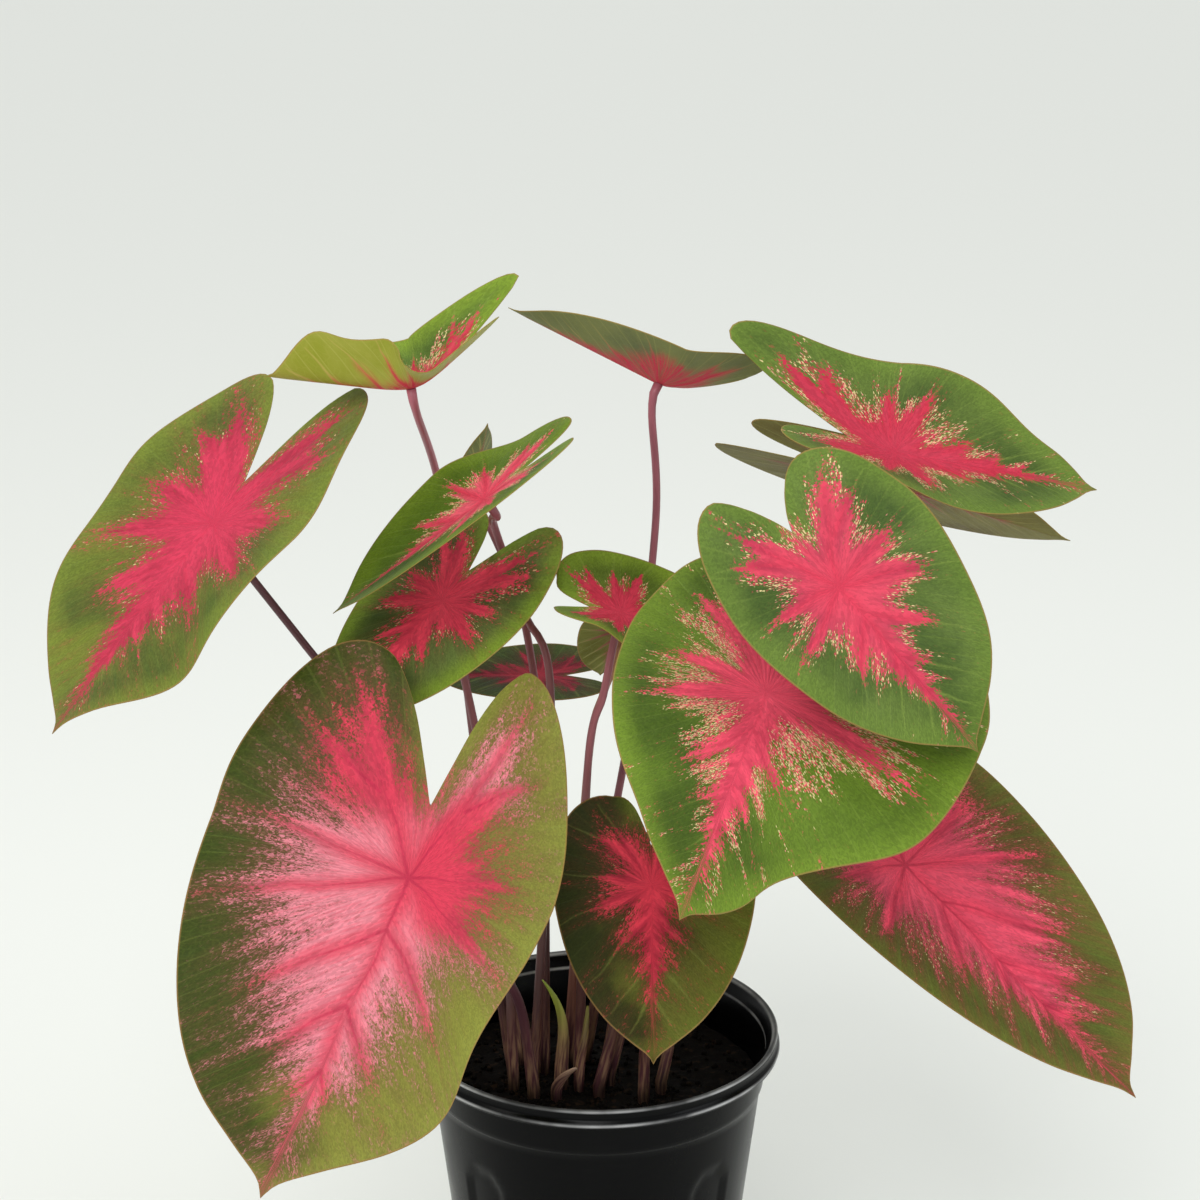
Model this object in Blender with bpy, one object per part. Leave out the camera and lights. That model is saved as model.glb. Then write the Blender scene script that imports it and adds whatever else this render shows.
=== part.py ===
"""Caladium in a black nursery pot: heart-shaped leaves on thin stalks, tubers, soil and pot.

Metres, +Z up, the front towards -Y. The origin is the centre of the pot's flat underside.
"""

import math

import bmesh
import bpy
import numpy as np
from mathutils import Matrix, Vector

# Pot
POT_HEIGHT = 0.165
RIM_RADIUS = 0.0825
BASE_RADIUS = 0.058
WALL = 0.0016
LIP_HEIGHT = 0.009
LIP_DEPTH = 0.0042
STEP_BELOW_LIP = 0.015
STEP_DEPTH = 0.001
FLOOR = 0.002
DRAIN_COUNT = 8
DRAIN_RADIUS = 0.005
DRAIN_RING = 0.043
POT_SEGMENTS = 48

# Soil
SOIL_TOP = 0.140
SOIL_SWELL = 0.0025
CLEARANCE = 0.0003
SOIL_RINGS = (0.012, 0.026, 0.040, 0.055)
MOUND_MIDDLE = (-0.015, -0.008)
MOUND_RADIUS = 0.035
RIPPLE_SHARE = 0.4
SHAFT_ABOVE_SOIL = 0.012
SHAFT_BELOW_FOOT = 0.002

# Tubers: centre, radius, height of the crown and thickness
TUBERS = {
    "tuber_large": dict(centre=(-0.018, -0.006), radius=0.0285, crown=0.118, thick=0.028),
    "tuber_small": dict(centre=(0.026, -0.023), radius=0.0115, crown=0.118, thick=0.018),
}
CROWN_DROP = 0.25

# Leaves
BLADE_THICKNESS = 0.0008
BLADE_RAYS = 32
BLADE_RINGS = (0.36, 0.7, 1.0)
FOLD_REACH = 0.05
PETIOLE_TOP = 0.0017
PETIOLE_FOOT = 0.0030
FOOT_FADE = 0.05
PETIOLE_POINTS = 9
STRAIGHT_FOOT = 0.006
RISE_SHARE = 0.4
ARRIVE_SHARE = 0.3
LAST_STRAIGHT = 0.012

# Right half of a flat leaf, from the tip round to the notch, for a midrib of length 1.
# The stalk joins at (0, 0); the first number is across, the second towards the tip.
HALF_LEAF = [
    (0.0, 1.0), (0.028, 0.95), (0.11, 0.88), (0.22, 0.775), (0.32, 0.63), (0.40, 0.455),
    (0.457, 0.25), (0.487, 0.05), (0.49, -0.15), (0.455, -0.33), (0.40, -0.475),
    (0.32, -0.58), (0.23, -0.62), (0.15, -0.59), (0.088, -0.50), (0.04, -0.37), (0.0, -0.24),
]
LOBE_END = 0.62
LOBE_REACH = 0.2
BELLY_MIDDLE = 0.72
BELLY_SPREAD = 0.2
NOTCH_SPREAD = 0.08
LEAN_START = 0.1

# What a leaf is unless it says otherwise. Pairs are (left half, right half), looking from the
# stalk to the tip with the upper face up; angles are in degrees.
#   joint    where the stalk meets the blade        length   stalk to tip
#   tip      azimuth and slope of the midrib; azimuth 0 points at -Y and 90 at +X
#   roll     lean of the upper face to the leaf's own right
#   width, lobe   stretch of each half, and of its back lobe
#   fold     rise of each half from the midrib, unfold its change towards the lobes
#   bend     rise of the front and back of the midrib beside the stalk
#   curl     droop of the midrib to the tip, twist its turn
#   lean     sideways lean of the lobes to the leaf's own right
#   belly    swell of each half towards the tip
#   notch    shift of the notch away from the joint
#   waves    (height, waves round the margin, start angle)
#   foot     where the stalk leaves the soil, via points that it passes on the way
PLAIN_LEAF = dict(
    roll=0, width=(1, 1), lobe=(1, 1), fold=(5, 5), unfold=(0, 0), bend=(0, 0),
    curl=0, twist=0, lean=0, belly=(0, 0), notch=0, waves=(), via=(),
)
LEAVES = {
    "left": dict(
        joint=(-0.161, -0.020, 0.4075), length=0.112, tip=(-44, -35), roll=3,
        width=(1.02, 1.18), lobe=(1.22, 1.12), fold=(4, 8), curl=10, lean=0.12,
        belly=(0.5, 0), notch=-0.03, waves=((0.003, 6, 150),), foot=(-0.038, -0.004),
    ),
    "top_left": dict(
        joint=(-0.078, 0.0, 0.461), length=0.063, tip=(-90, -9),
        width=(0.95, 1), lobe=(1.3, 1.65), fold=(70, 30), unfold=(-55, 6), bend=(14, 31),
        belly=(0.6, 0), foot=(-0.034, 0.008),
        via=((-0.050, 0.036, 0.240), (-0.060, 0.050, 0.320), (-0.069, 0.050, 0.400)),
    ),
    "top": dict(
        joint=(0.027, 0.040, 0.453), length=0.073, tip=(-90, 27), roll=20,
        fold=(24, 22), bend=(0, 30), foot=(-0.014, 0.014),
        via=((0.014, 0.040, 0.287), (0.026, 0.048, 0.386)),
    ),
    "top_right": dict(
        joint=(0.126, 0.0, 0.433), length=0.088, tip=(90, -10), roll=22,
        width=(1.05, 1.1), lobe=(1.55, 1), fold=(22, 22), bend=(0, 15), curl=5, twist=22,
        belly=(-0.2, 0), waves=((0.005, 4, 20),), foot=(0.004, -0.001),
    ),
    "upper_right_back": dict(
        joint=(0.125, 0.050, 0.406), length=0.090, tip=(90, -18), roll=-40,
        width=(1, 0.6), lobe=(1.3, 1.2), fold=(10, 10), foot=(-0.005, 0.010),
    ),
    "right": dict(
        joint=(0.0965, -0.088, 0.4015), length=0.086, tip=(53, -39), roll=40,
        width=(1.15, 1.03), lobe=(1, 1.10), fold=(3, 3), curl=5, belly=(0.05, 0),
        notch=0.1, waves=((0.0015, 7, 0),), foot=(0.006, -0.012),
        via=((0.035, -0.008, 0.260), (0.072, -0.018, 0.345), (0.086, -0.040, 0.385)),
    ),
    "right_front": dict(
        joint=(0.069, -0.080, 0.353), length=0.134, tip=(-17, -18), roll=-14,
        width=(1.36, 0.95), fold=(3, 3), curl=5, twist=-22, belly=(-0.42, -0.15),
        waves=((0.002, 8, 30),), foot=(0.001, -0.022),
        via=((0.024, -0.024, 0.240), (0.050, -0.040, 0.315)),
    ),
    "centre": dict(
        joint=(0.011, 0.0, 0.361), length=0.060, tip=(98, -14), roll=25,
        width=(1.15, 1), lobe=(0.8, 0.85), fold=(8, 5), unfold=(0, 25),
        foot=(-0.008, -0.004), via=((-0.004, -0.004, 0.290), (0.003, -0.003, 0.325)),
    ),
    "left_middle": dict(
        joint=(-0.047, -0.020, 0.418), length=0.082, tip=(-90, -38),
        width=(0.9, 0.85), lobe=(0.95, 0.93), fold=(4, 34), unfold=(0, -25),
        foot=(-0.028, -0.012),
        via=((-0.019, 0.008, 0.316), (-0.032, 0.024, 0.355), (-0.050, 0.030, 0.390)),
    ),
    "left_lower": dict(
        joint=(-0.067, 0.005, 0.365), length=0.075, tip=(-50, -35), roll=-10,
        width=(1.3, 1), lobe=(1.15, 1), foot=(-0.037, -0.016),
    ),
    "front_large": dict(
        joint=(-0.074, -0.135, 0.295), length=0.143, tip=(-25, -35), roll=-10,
        width=(0.86, 1.22), lobe=(1.2, 1.12), fold=(3, 5), lean=0.2, belly=(0.42, 0.04),
        waves=((0.002, 7, 60),), foot=(-0.028, -0.026),
    ),
    "front_small": dict(
        joint=(0.023, -0.070, 0.264), length=0.080, tip=(0, -40),
        width=(1.12, 1.06), lobe=(0.85, 0.85), foot=(0.021, -0.027),
    ),
    "right_low": dict(
        joint=(0.136, 0.0, 0.244), length=0.146, tip=(44, -27), roll=7,
        width=(1, 0.74), foot=(0.029, -0.017),
        via=((0.046, -0.006, 0.215), (0.085, 0.006, 0.244)),
    ),
    "back_low": dict(
        joint=(-0.027, 0.080, 0.304), length=0.051, tip=(-90, 0), roll=-12,
        foot=(-0.024, 0.012),
    ),
    "back_young": dict(
        joint=(-0.057, 0.075, 0.391), length=0.037, tip=(60, 75), fold=(10, 10),
        foot=(-0.024, 0.001),
    ),
    "centre_hanging": dict(
        joint=(0.009, 0.018, 0.347), length=0.036, tip=(-160, -52), lobe=(0.6, 0.6),
        foot=(-0.013, 0.004), via=((-0.004, 0.010, 0.286), (0.003, 0.012, 0.320)),
    ),
}

# Young growth: foot, height above the soil, lean of the point in x and y, radius
SPROUTS = {
    "sprout_tall": dict(foot=(-0.016, -0.017), height=0.052, lean=(-0.008, -0.005), radius=0.0030),
    "sprout_short": dict(foot=(-0.008, -0.018), height=0.036, lean=(0.004, 0.006), radius=0.0022),
    "dry_stub": dict(foot=(-0.018, -0.028), height=0.014, lean=(0.010, -0.003), radius=0.0024),
}
SPROUT_POINTS = 6


def clear_scene():
    for obj in list(bpy.data.objects):
        bpy.data.objects.remove(obj, do_unlink=True)


def add_material(name, colour, roughness, metallic=0.0):
    material = bpy.data.materials.new(name)
    material.use_nodes = True
    shader = material.node_tree.nodes["Principled BSDF"]
    shader.inputs["Base Color"].default_value = (*colour, 1.0)
    shader.inputs["Roughness"].default_value = roughness
    shader.inputs["Metallic"].default_value = metallic
    return material


def add_object(name, data, material):
    obj = bpy.data.objects.new(name, data)
    data.materials.append(material)
    bpy.context.scene.collection.objects.link(obj)
    return obj


def add_mesh(name, points, faces, material):
    mesh = bpy.data.meshes.new(name)
    mesh.from_pydata([tuple(p) for p in points], [], faces)
    mesh.update()
    mesh.shade_smooth()
    mesh.set_sharp_from_angle(angle=math.radians(40))
    return add_object(name, mesh, material)


def turned(name, profile, segments, material):
    """A closed solid turned about Z. The profile runs up the outside from axis to axis,
    or round a closed wall, as (radius, height) pairs."""
    on_axis = profile[0][0] == 0
    points = []
    rings = []
    for radius, height in profile:
        if radius == 0:
            rings.append([len(points)] * segments)
            points.append((0, 0, height))
            continue
        rings.append(range(len(points), len(points) + segments))
        for i in range(segments):
            angle = 2 * math.pi * i / segments
            points.append((radius * math.cos(angle), radius * math.sin(angle), height))
    pairs = list(zip(rings, rings[1:] if on_axis else rings[1:] + rings[:1]))
    faces = []
    for low, high in pairs:
        for i in range(segments):
            j = (i + 1) % segments
            corners = [low[i], low[j], high[j], high[i]]
            faces.append(list(dict.fromkeys(corners)))
    return add_mesh(name, points, faces, material)


def cut(target, cutter):
    """Boolean difference with the default solver; the cutter stays hidden."""
    cutter.hide_render = True
    cutter.display_type = "WIRE"
    modifier = target.modifiers.new("cut_" + cutter.name, "BOOLEAN")
    modifier.operation = "DIFFERENCE"
    modifier.solver = "EXACT"
    modifier.object = cutter


def wall_radius(height):
    return BASE_RADIUS + (RIM_RADIUS - LIP_DEPTH - BASE_RADIUS) * height / POT_HEIGHT


def build_pot(material):
    step = POT_HEIGHT - LIP_HEIGHT - STEP_BELOW_LIP
    under_lip = POT_HEIGHT - LIP_HEIGHT
    outside = [
        (BASE_RADIUS - 0.002, 0.0),
        (BASE_RADIUS, 0.002),
        (wall_radius(step) - STEP_DEPTH, step - 0.002),
        (wall_radius(step), step),
        (wall_radius(under_lip), under_lip),
        (RIM_RADIUS - 0.001, under_lip),
        (RIM_RADIUS, under_lip + 0.002),
        (RIM_RADIUS, POT_HEIGHT - 0.003),
        (RIM_RADIUS - 0.002, POT_HEIGHT),
    ]
    inside = [
        (wall_radius(POT_HEIGHT) - WALL, POT_HEIGHT),
        (wall_radius(step) - WALL - STEP_DEPTH, step),
        (BASE_RADIUS - WALL, FLOOR),
    ]
    profile = [(0, 0)] + outside + inside + [(0, FLOOR)]
    pot = turned("pot", profile, POT_SEGMENTS, material)
    holes = bmesh.new()
    for i in range(DRAIN_COUNT):
        angle = 2 * math.pi * (i + 0.5) / DRAIN_COUNT
        place = Matrix.Translation((DRAIN_RING * math.cos(angle), DRAIN_RING * math.sin(angle), 0))
        bmesh.ops.create_cone(
            holes, cap_ends=True, segments=12, radius1=DRAIN_RADIUS, radius2=DRAIN_RADIUS,
            depth=0.02, matrix=place,
        )
    mesh = bpy.data.meshes.new("drain_holes")
    holes.to_mesh(mesh)
    holes.free()
    cut(pot, add_object("drain_holes", mesh, material))
    return pot


def soil_height(x, y):
    """The uneven top of the soil, a little higher round the crown."""
    mound = math.exp(-(math.dist(MOUND_MIDDLE, (x, y)) / MOUND_RADIUS) ** 2)
    ripple = math.sin(110 * x + 1.0) * math.cos(95 * y - 0.6)
    return SOIL_TOP + SOIL_SWELL * (mound + RIPPLE_SHARE * ripple)


def tuber_top(tuber, away):
    """Height of the domed crown at a distance from its middle."""
    return tuber["crown"] - CROWN_DROP * tuber["thick"] * (away / tuber["radius"]) ** 2


def build_tuber(name, tuber, material, extra=0.0, segments=20):
    """A flattened corm: a domed crown over a rounded underside. Extra swells it evenly."""
    radius, thick = tuber["radius"], tuber["thick"]
    shoulder = tuber["crown"] - CROWN_DROP * thick
    bottom = tuber["crown"] - thick
    profile = [(0, bottom - extra)]
    for part in (0.3, 0.55, 0.8):
        angle = part * math.pi / 2
        profile.append((
            radius * math.sin(angle) + extra,
            shoulder - (shoulder - bottom) * math.cos(angle) - extra * math.cos(angle),
        ))
    profile.append((radius + extra, shoulder))
    for far in (0.8, 0.5, 0.25):
        profile.append((radius * far + extra, tuber_top(tuber, radius * far) + extra))
    profile.append((0, tuber["crown"] + extra))
    obj = turned(name, profile, segments, material)
    obj.location = (*tuber["centre"], 0)
    return obj


def foot_start(foot, radius):
    """Just above the tuber that the foot stands on, which falls away from its middle."""
    tuber = min(TUBERS.values(), key=lambda t: math.dist(t["centre"], foot) / t["radius"])
    away = math.dist(tuber["centre"], foot)
    nearest = max(0.0, away - radius)
    return tuber_top(tuber, nearest) + CLEARANCE


def build_soil(material, holes):
    """Fills the pot to the soil line, with a hole for each stalk and a hollow for each tuber."""
    def reach(height):
        return wall_radius(height) - WALL - STEP_DEPTH - CLEARANCE * 2

    bottom = FLOOR + CLEARANCE
    side = [(reach(bottom), bottom), (reach(SOIL_TOP), SOIL_TOP)]
    top = [(radius, SOIL_TOP) for radius in reversed(SOIL_RINGS)]
    soil = turned("soil", [(0, bottom)] + side + top + [(0, SOIL_TOP)], POT_SEGMENTS, material)
    for vertex in soil.data.vertices:
        if vertex.co.z > bottom + 0.001:
            vertex.co.z = soil_height(vertex.co.x, vertex.co.y)
    for name, tuber in TUBERS.items():
        cut(soil, build_tuber(name + "_hollow", tuber, material, extra=0.0004))
    shafts = bmesh.new()
    for foot, radius in holes:
        low = foot_start(foot, radius) - SHAFT_BELOW_FOOT
        high = SOIL_TOP + SHAFT_ABOVE_SOIL
        bmesh.ops.create_cone(
            shafts, cap_ends=True, segments=12, radius1=radius + 2 * CLEARANCE,
            radius2=radius + 2 * CLEARANCE, depth=high - low,
            matrix=Matrix.Translation((*foot, (high + low) / 2)),
        )
    mesh = bpy.data.meshes.new("stem_holes")
    shafts.to_mesh(mesh)
    shafts.free()
    cut(soil, add_object("stem_holes", mesh, material))
    return soil


def smooth_line(points, count):
    """A Catmull-Rom line through the points, read at even distances."""
    given = np.array(points, float)
    padded = np.vstack([2 * given[0] - given[1], given, 2 * given[-1] - given[-2]])
    dense = []
    for a, b, c, d in zip(padded, padded[1:], padded[2:], padded[3:]):
        for t in np.linspace(0, 1, 12, endpoint=False):
            dense.append(
                b + 0.5 * t * (c - a)
                + t * t * (a - 2.5 * b + 2 * c - 0.5 * d)
                + t ** 3 * (1.5 * (b - c) + 0.5 * (d - a))
            )
    dense.append(given[-1])
    dense = np.array(dense)
    along = np.concatenate([[0], np.cumsum(np.linalg.norm(np.diff(dense, axis=0), axis=1))])
    places = np.linspace(0, along[-1], count)
    return np.column_stack([np.interp(places, along, axis) for axis in dense.T])


def turn(axis, angle):
    return np.array(Matrix.Rotation(angle, 3, Vector(axis)))


def leaf_frame(leaf):
    """Columns: the leaf's right, the way to its tip, and out of its upper face."""
    azimuth, slope = (math.radians(a) for a in leaf["tip"])
    flat = math.cos(slope)
    ahead = np.array([math.sin(azimuth) * flat, -math.cos(azimuth) * flat, math.sin(slope)])
    upward = np.array([0, 0, 1.0]) - ahead * ahead[2]
    upward = turn(ahead, math.radians(leaf["roll"])) @ (upward / np.linalg.norm(upward))
    return np.column_stack([np.cross(ahead, upward), ahead, upward])


def midrib(leaf, steps=50):
    """Places and frames along the midrib, from the lobes (-1) to the tip (1)."""
    near_reach = 0.3
    step = 1 / steps
    frames = {0: np.eye(3)}
    places = {0: np.zeros(3)}
    curl, twist, front, back = (
        math.radians(a) for a in (leaf["curl"], leaf["twist"], *leaf["bend"])
    )
    for i in range(steps):
        near = max(0.0, 1 - i * step / near_reach) * 2 / near_reach
        bent = frames[i] @ turn((1, 0, 0), (front * near - curl) * step)
        frames[i + 1] = bent @ turn((0, 1, 0), twist * step)
        places[i + 1] = places[i] + frames[i + 1][:, 1] * step
        frames[-i - 1] = frames[-i] @ turn((1, 0, 0), -back * near * step)
        places[-i - 1] = places[-i] - frames[-i - 1][:, 1] * step
    order = range(-steps, steps + 1)
    return np.array([places[i] for i in order]), np.array([frames[i] for i in order])


def leaf_surface(leaf, flat):
    """Lifts points of the flat leaf, for a midrib of length 1, to their places in space."""
    across, along = flat[:, 0], flat[:, 1]
    right = across >= 0
    away = np.abs(across)

    def side(key):
        return np.radians(np.where(right, leaf[key][1], leaf[key][0]))

    to_lobe = np.clip((0.2 - along) / 0.5, 0, 1)
    to_lobe = to_lobe * to_lobe * (3 - 2 * to_lobe)
    angle = side("fold") + side("unfold") * to_lobe
    steps = 24
    out = np.zeros(len(flat))
    rise = np.zeros(len(flat))
    for j in range(steps):
        slope = angle * (1 - np.exp(-away * (j + 0.5) / steps / FOLD_REACH))
        out += np.cos(slope) * away / steps
        rise += np.sin(slope) * away / steps
    out = np.where(right, out, -out)
    behind = np.maximum(0.0, -along)
    out += leaf["lean"] * behind ** 2 / (behind + LEAN_START)
    around = np.arctan2(across, along)
    margin = np.clip(np.hypot(across, along) - 0.2, 0, 1) ** 1.5 * 2
    for height, count, start in leaf["waves"]:
        wave = np.sin(count * around + math.radians(start))
        rise = rise + height / leaf["length"] * wave * margin
    places, frames = midrib(leaf)
    within = np.clip(along, -1, 1)
    at = (within + 1) / 2 * (len(places) - 1)
    low = np.minimum(at.astype(int), len(places) - 2)
    share = (at - low)[:, None]
    place = places[low] * (1 - share) + places[low + 1] * share
    share = share[:, :, None]
    frame = frames[low] * (1 - share) + frames[low + 1] * share
    place = place + frame[:, :, 1] * (along - within)[:, None]
    local = place + frame[:, :, 0] * out[:, None] + frame[:, :, 2] * rise[:, None]
    return np.array(leaf["joint"]) + leaf["length"] * local @ leaf_frame(leaf).T


def leaf_outline(leaf, rays):
    """The flat margin from the tip round the right half to the notch, and back by the left."""
    halves = []
    for side in (1, 0):
        half = smooth_line(HALF_LEAF, rays // 2 + 1)
        half[:, 0] *= leaf["width"][side]
        grow = np.clip(-half[:, 1] / LOBE_END, 0, 1) * np.clip(half[:, 0] / LOBE_REACH, 0, 1)
        half[:, 1] *= 1 + (leaf["lobe"][side] - 1) * grow
        swell = np.exp(-((half[:, 1] - BELLY_MIDDLE) / BELLY_SPREAD) ** 2)
        half[:, 0] *= 1 + leaf["belly"][side] * swell
        behind = half[:, 1] < 0
        half[:, 1] -= leaf["notch"] * behind * np.exp(-(half[:, 0] / NOTCH_SPREAD) ** 2)
        halves.append(half)
    right, left = halves
    return np.vstack([right, left[1:-1][::-1] * [-1, 1]])


def build_blade(name, leaf, material):
    """A thin closed blade: rings of points round the joint, triangled alike on both faces."""
    outline = leaf_outline(leaf, BLADE_RAYS)
    count = len(outline)
    flat = np.vstack([[(0, 0)]] + [outline * ring for ring in BLADE_RINGS])
    middle = leaf_surface(leaf, flat)
    nudge = 0.004
    sideways = leaf_surface(leaf, flat + [nudge, 0]) - leaf_surface(leaf, flat - [nudge, 0])
    ahead = leaf_surface(leaf, flat + [0, nudge]) - leaf_surface(leaf, flat - [0, nudge])
    normal = np.cross(sideways, ahead)
    normal *= BLADE_THICKNESS / 2 / np.linalg.norm(normal, axis=1)[:, None]
    points = np.vstack([middle + normal, middle - normal])
    lower = len(middle)
    upper_faces = []
    for i in range(count):
        j = (i + 1) % count
        upper_faces.append((0, 1 + j, 1 + i))
        for ring in range(len(BLADE_RINGS) - 1):
            a = 1 + ring * count + i
            b = 1 + ring * count + j
            upper_faces += [(a, b, b + count), (a, b + count, a + count)]
    faces = list(upper_faces)
    faces += [(a + lower, c + lower, b + lower) for a, b, c in upper_faces]
    edge = 1 + (len(BLADE_RINGS) - 1) * count
    for i in range(count):
        j = (i + 1) % count
        a, b = edge + i, edge + j
        faces += [(a, b, b + lower), (a, b + lower, a + lower)]
    return add_mesh(name, points, faces, material)


def petiole_path(leaf):
    """From the tuber straight up through the soil, then on a smooth line to the joint."""
    up = np.array([0, 0, 1.0])
    foot = np.array([*leaf["foot"], 0.0])
    start = foot + up * foot_start(leaf["foot"], PETIOLE_FOOT)
    leave = foot + up * (SOIL_TOP + STRAIGHT_FOOT)
    joint = np.array(leaf["joint"])
    normal = leaf_frame(leaf)[:, 2]
    last = np.array(leaf["via"][-1]) if leaf["via"] else leave
    way = (joint - last) / np.linalg.norm(joint - last)
    arrive = 0.5 * way + 0.5 * normal
    arrive /= np.linalg.norm(arrive)
    tilt = math.acos(min(1.0, abs(float(arrive @ normal))))
    drop = BLADE_THICKNESS / 2 + CLEARANCE * 2 + PETIOLE_TOP * math.sin(tilt)
    end = joint - normal * drop
    if leaf["via"]:
        between = [np.array(point) for point in leaf["via"]] + [end - arrive * LAST_STRAIGHT]
    else:
        span = np.linalg.norm(end - leave)
        low = leave + up * span * RISE_SHARE
        high = end - arrive * span * ARRIVE_SHARE
        between = []
        for t in (0.25, 0.5, 0.75, 0.92):
            s = 1 - t
            between.append(s ** 3 * leave + 3 * s * s * t * low + 3 * s * t * t * high + t ** 3 * end)
    upper = smooth_line([leave] + between + [end], PETIOLE_POINTS)
    return np.vstack([[start], [start * 0.5 + leave * 0.5], upper])


def add_tube(name, path, radii, material, sides):
    data = bpy.data.curves.new(name, "CURVE")
    data.dimensions = "3D"
    data.bevel_depth = 1.0
    data.bevel_resolution = (sides - 4) // 2
    data.use_fill_caps = True
    data.twist_mode = "MINIMUM"
    spline = data.splines.new("POLY")
    spline.points.add(len(path) - 1)
    for point, place, radius in zip(spline.points, path, radii):
        point.co = (*place, 1.0)
        point.radius = radius
    return add_object(name, data, material)


def build_petiole(name, leaf, material):
    """Thick and straight at the foot, slim at the blade."""
    path = petiole_path(leaf)
    radii = [
        PETIOLE_TOP + (PETIOLE_FOOT - PETIOLE_TOP)
        * math.exp(-max(0.0, point[2] - SOIL_TOP - STRAIGHT_FOOT) / FOOT_FADE)
        for point in path
    ]
    return add_tube(name, path, radii, material, sides=8)


def build_sprout(name, sprout, material):
    """A pointed young shoot that leans a little."""
    foot, radius = sprout["foot"], sprout["radius"]
    start = (*foot, foot_start(foot, radius))
    leave = (*foot, SOIL_TOP + STRAIGHT_FOOT)
    path = [start]
    radii = [radius]
    for i in range(SPROUT_POINTS):
        t = i / (SPROUT_POINTS - 1)
        path.append((
            leave[0] + sprout["lean"][0] * t * t,
            leave[1] + sprout["lean"][1] * t * t,
            leave[2] + sprout["height"] * t,
        ))
        radii.append(radius * (1 - 0.8 * t ** 1.5))
    return add_tube(name, path, radii, material, sides=8)


def main():
    clear_scene()
    plastic = add_material("black_plastic", (0.012, 0.012, 0.013), 0.35)
    soil_mix = add_material("potting_soil", (0.020, 0.014, 0.010), 0.95)
    corm = add_material("tuber_skin", (0.16, 0.09, 0.05), 0.85)
    blade_green = add_material("leaf_blade", (0.09, 0.16, 0.03), 0.45)
    stalk = add_material("petiole", (0.20, 0.09, 0.07), 0.45)
    young = add_material("young_shoot", (0.40, 0.42, 0.08), 0.45)

    build_pot(plastic)
    holes = [(leaf["foot"], PETIOLE_FOOT) for leaf in LEAVES.values()]
    holes += [(sprout["foot"], sprout["radius"]) for sprout in SPROUTS.values()]
    build_soil(soil_mix, holes)
    for name, tuber in TUBERS.items():
        build_tuber(name, tuber, corm)
    for name, values in LEAVES.items():
        leaf = {**PLAIN_LEAF, **values}
        build_blade("blade_" + name, leaf, blade_green)
        build_petiole("petiole_" + name, leaf, stalk)
    for name, sprout in SPROUTS.items():
        build_sprout(name, sprout, young)


main()
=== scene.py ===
import math
from functools import partial

import bpy
import numpy as np
from mathutils import Matrix, Vector, noise


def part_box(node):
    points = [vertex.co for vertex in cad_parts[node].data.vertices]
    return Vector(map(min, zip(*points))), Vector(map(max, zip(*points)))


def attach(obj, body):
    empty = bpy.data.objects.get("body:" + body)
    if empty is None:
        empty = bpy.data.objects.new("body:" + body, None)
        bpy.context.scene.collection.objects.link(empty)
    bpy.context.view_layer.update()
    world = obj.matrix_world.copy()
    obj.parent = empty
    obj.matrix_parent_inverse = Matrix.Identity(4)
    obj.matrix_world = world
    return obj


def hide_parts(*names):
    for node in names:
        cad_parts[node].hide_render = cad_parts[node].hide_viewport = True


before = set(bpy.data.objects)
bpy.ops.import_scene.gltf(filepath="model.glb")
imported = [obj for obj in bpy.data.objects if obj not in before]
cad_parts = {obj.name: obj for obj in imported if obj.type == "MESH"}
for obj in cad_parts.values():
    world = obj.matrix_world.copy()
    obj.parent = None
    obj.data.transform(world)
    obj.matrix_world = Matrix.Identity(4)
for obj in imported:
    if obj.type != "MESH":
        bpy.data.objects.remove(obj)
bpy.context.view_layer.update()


def linearOf(hexColour):
    # an sRGB hex colour as the linear RGBA that sockets take
    parts = [int(hexColour[i:i + 2], 16) / 255 for i in (1, 3, 5)]
    return (*[p / 12.92 if p <= 0.04045 else ((p + 0.055) / 1.055) ** 2.4 for p in parts], 1)


def addNode(tree, kind, inputs=(), **settings):
    # a node with its settings; inputs go by place or by name: a value, a socket to link, or
    # a tuple that starts with a socket, for a smooth ramp of that source between the limits
    node = tree.nodes.new(kind if kind.startswith("NodeGroup") else "ShaderNode" + kind)
    for key, value in settings.items():
        setattr(node, key, value)
    for key, value in inputs.items() if isinstance(inputs, dict) else enumerate(inputs):
        if isinstance(value, tuple) and isinstance(value[0], bpy.types.NodeSocket):
            value = addNode(tree, "MapRange", value, **smooth)[0]
        if isinstance(value, bpy.types.NodeSocket):
            tree.links.new(value, node.inputs[key])
        else:
            node.inputs[key].default_value = value
    return node.outputs


# settings that many nodes share
smooth = dict(interpolation_type="SMOOTHSTEP")
rgba = dict(data_type="RGBA")
multiply = dict(operation="MULTIPLY")
multiplyAdd = dict(operation="MULTIPLY_ADD")
subtract = dict(operation="SUBTRACT")
scaled = dict(operation="SCALE")
in4D = dict(noise_dimensions="4D")


def startMaterial(name, **shaderValues):
    # a Principled material with constants set on its own sockets, and its way to add nodes
    material = bpy.data.materials.new(name)
    material.use_nodes = True
    shader = material.node_tree.nodes["Principled BSDF"]
    for key, value in shaderValues.items():
        shader.inputs[key.replace("_", " ")].default_value = value
    return material, partial(addNode, material.node_tree)


def feedShader(material, **sockets):
    shader = material.node_tree.nodes["Principled BSDF"]
    for key, socket in sockets.items():
        material.node_tree.links.new(socket, shader.inputs[key.replace("_", " ")])
    return material


def layColours(add, colour, *layers):
    # lays colours over each other; each comes with its share
    for share, upper in layers:
        colour = add("Mix", {0: share, 6: colour, 7: upper}, **rgba)[2]
    return colour


def addObject(name, data):
    item = bpy.data.objects.new(name, data)
    bpy.context.scene.collection.objects.link(item)
    return item


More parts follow.
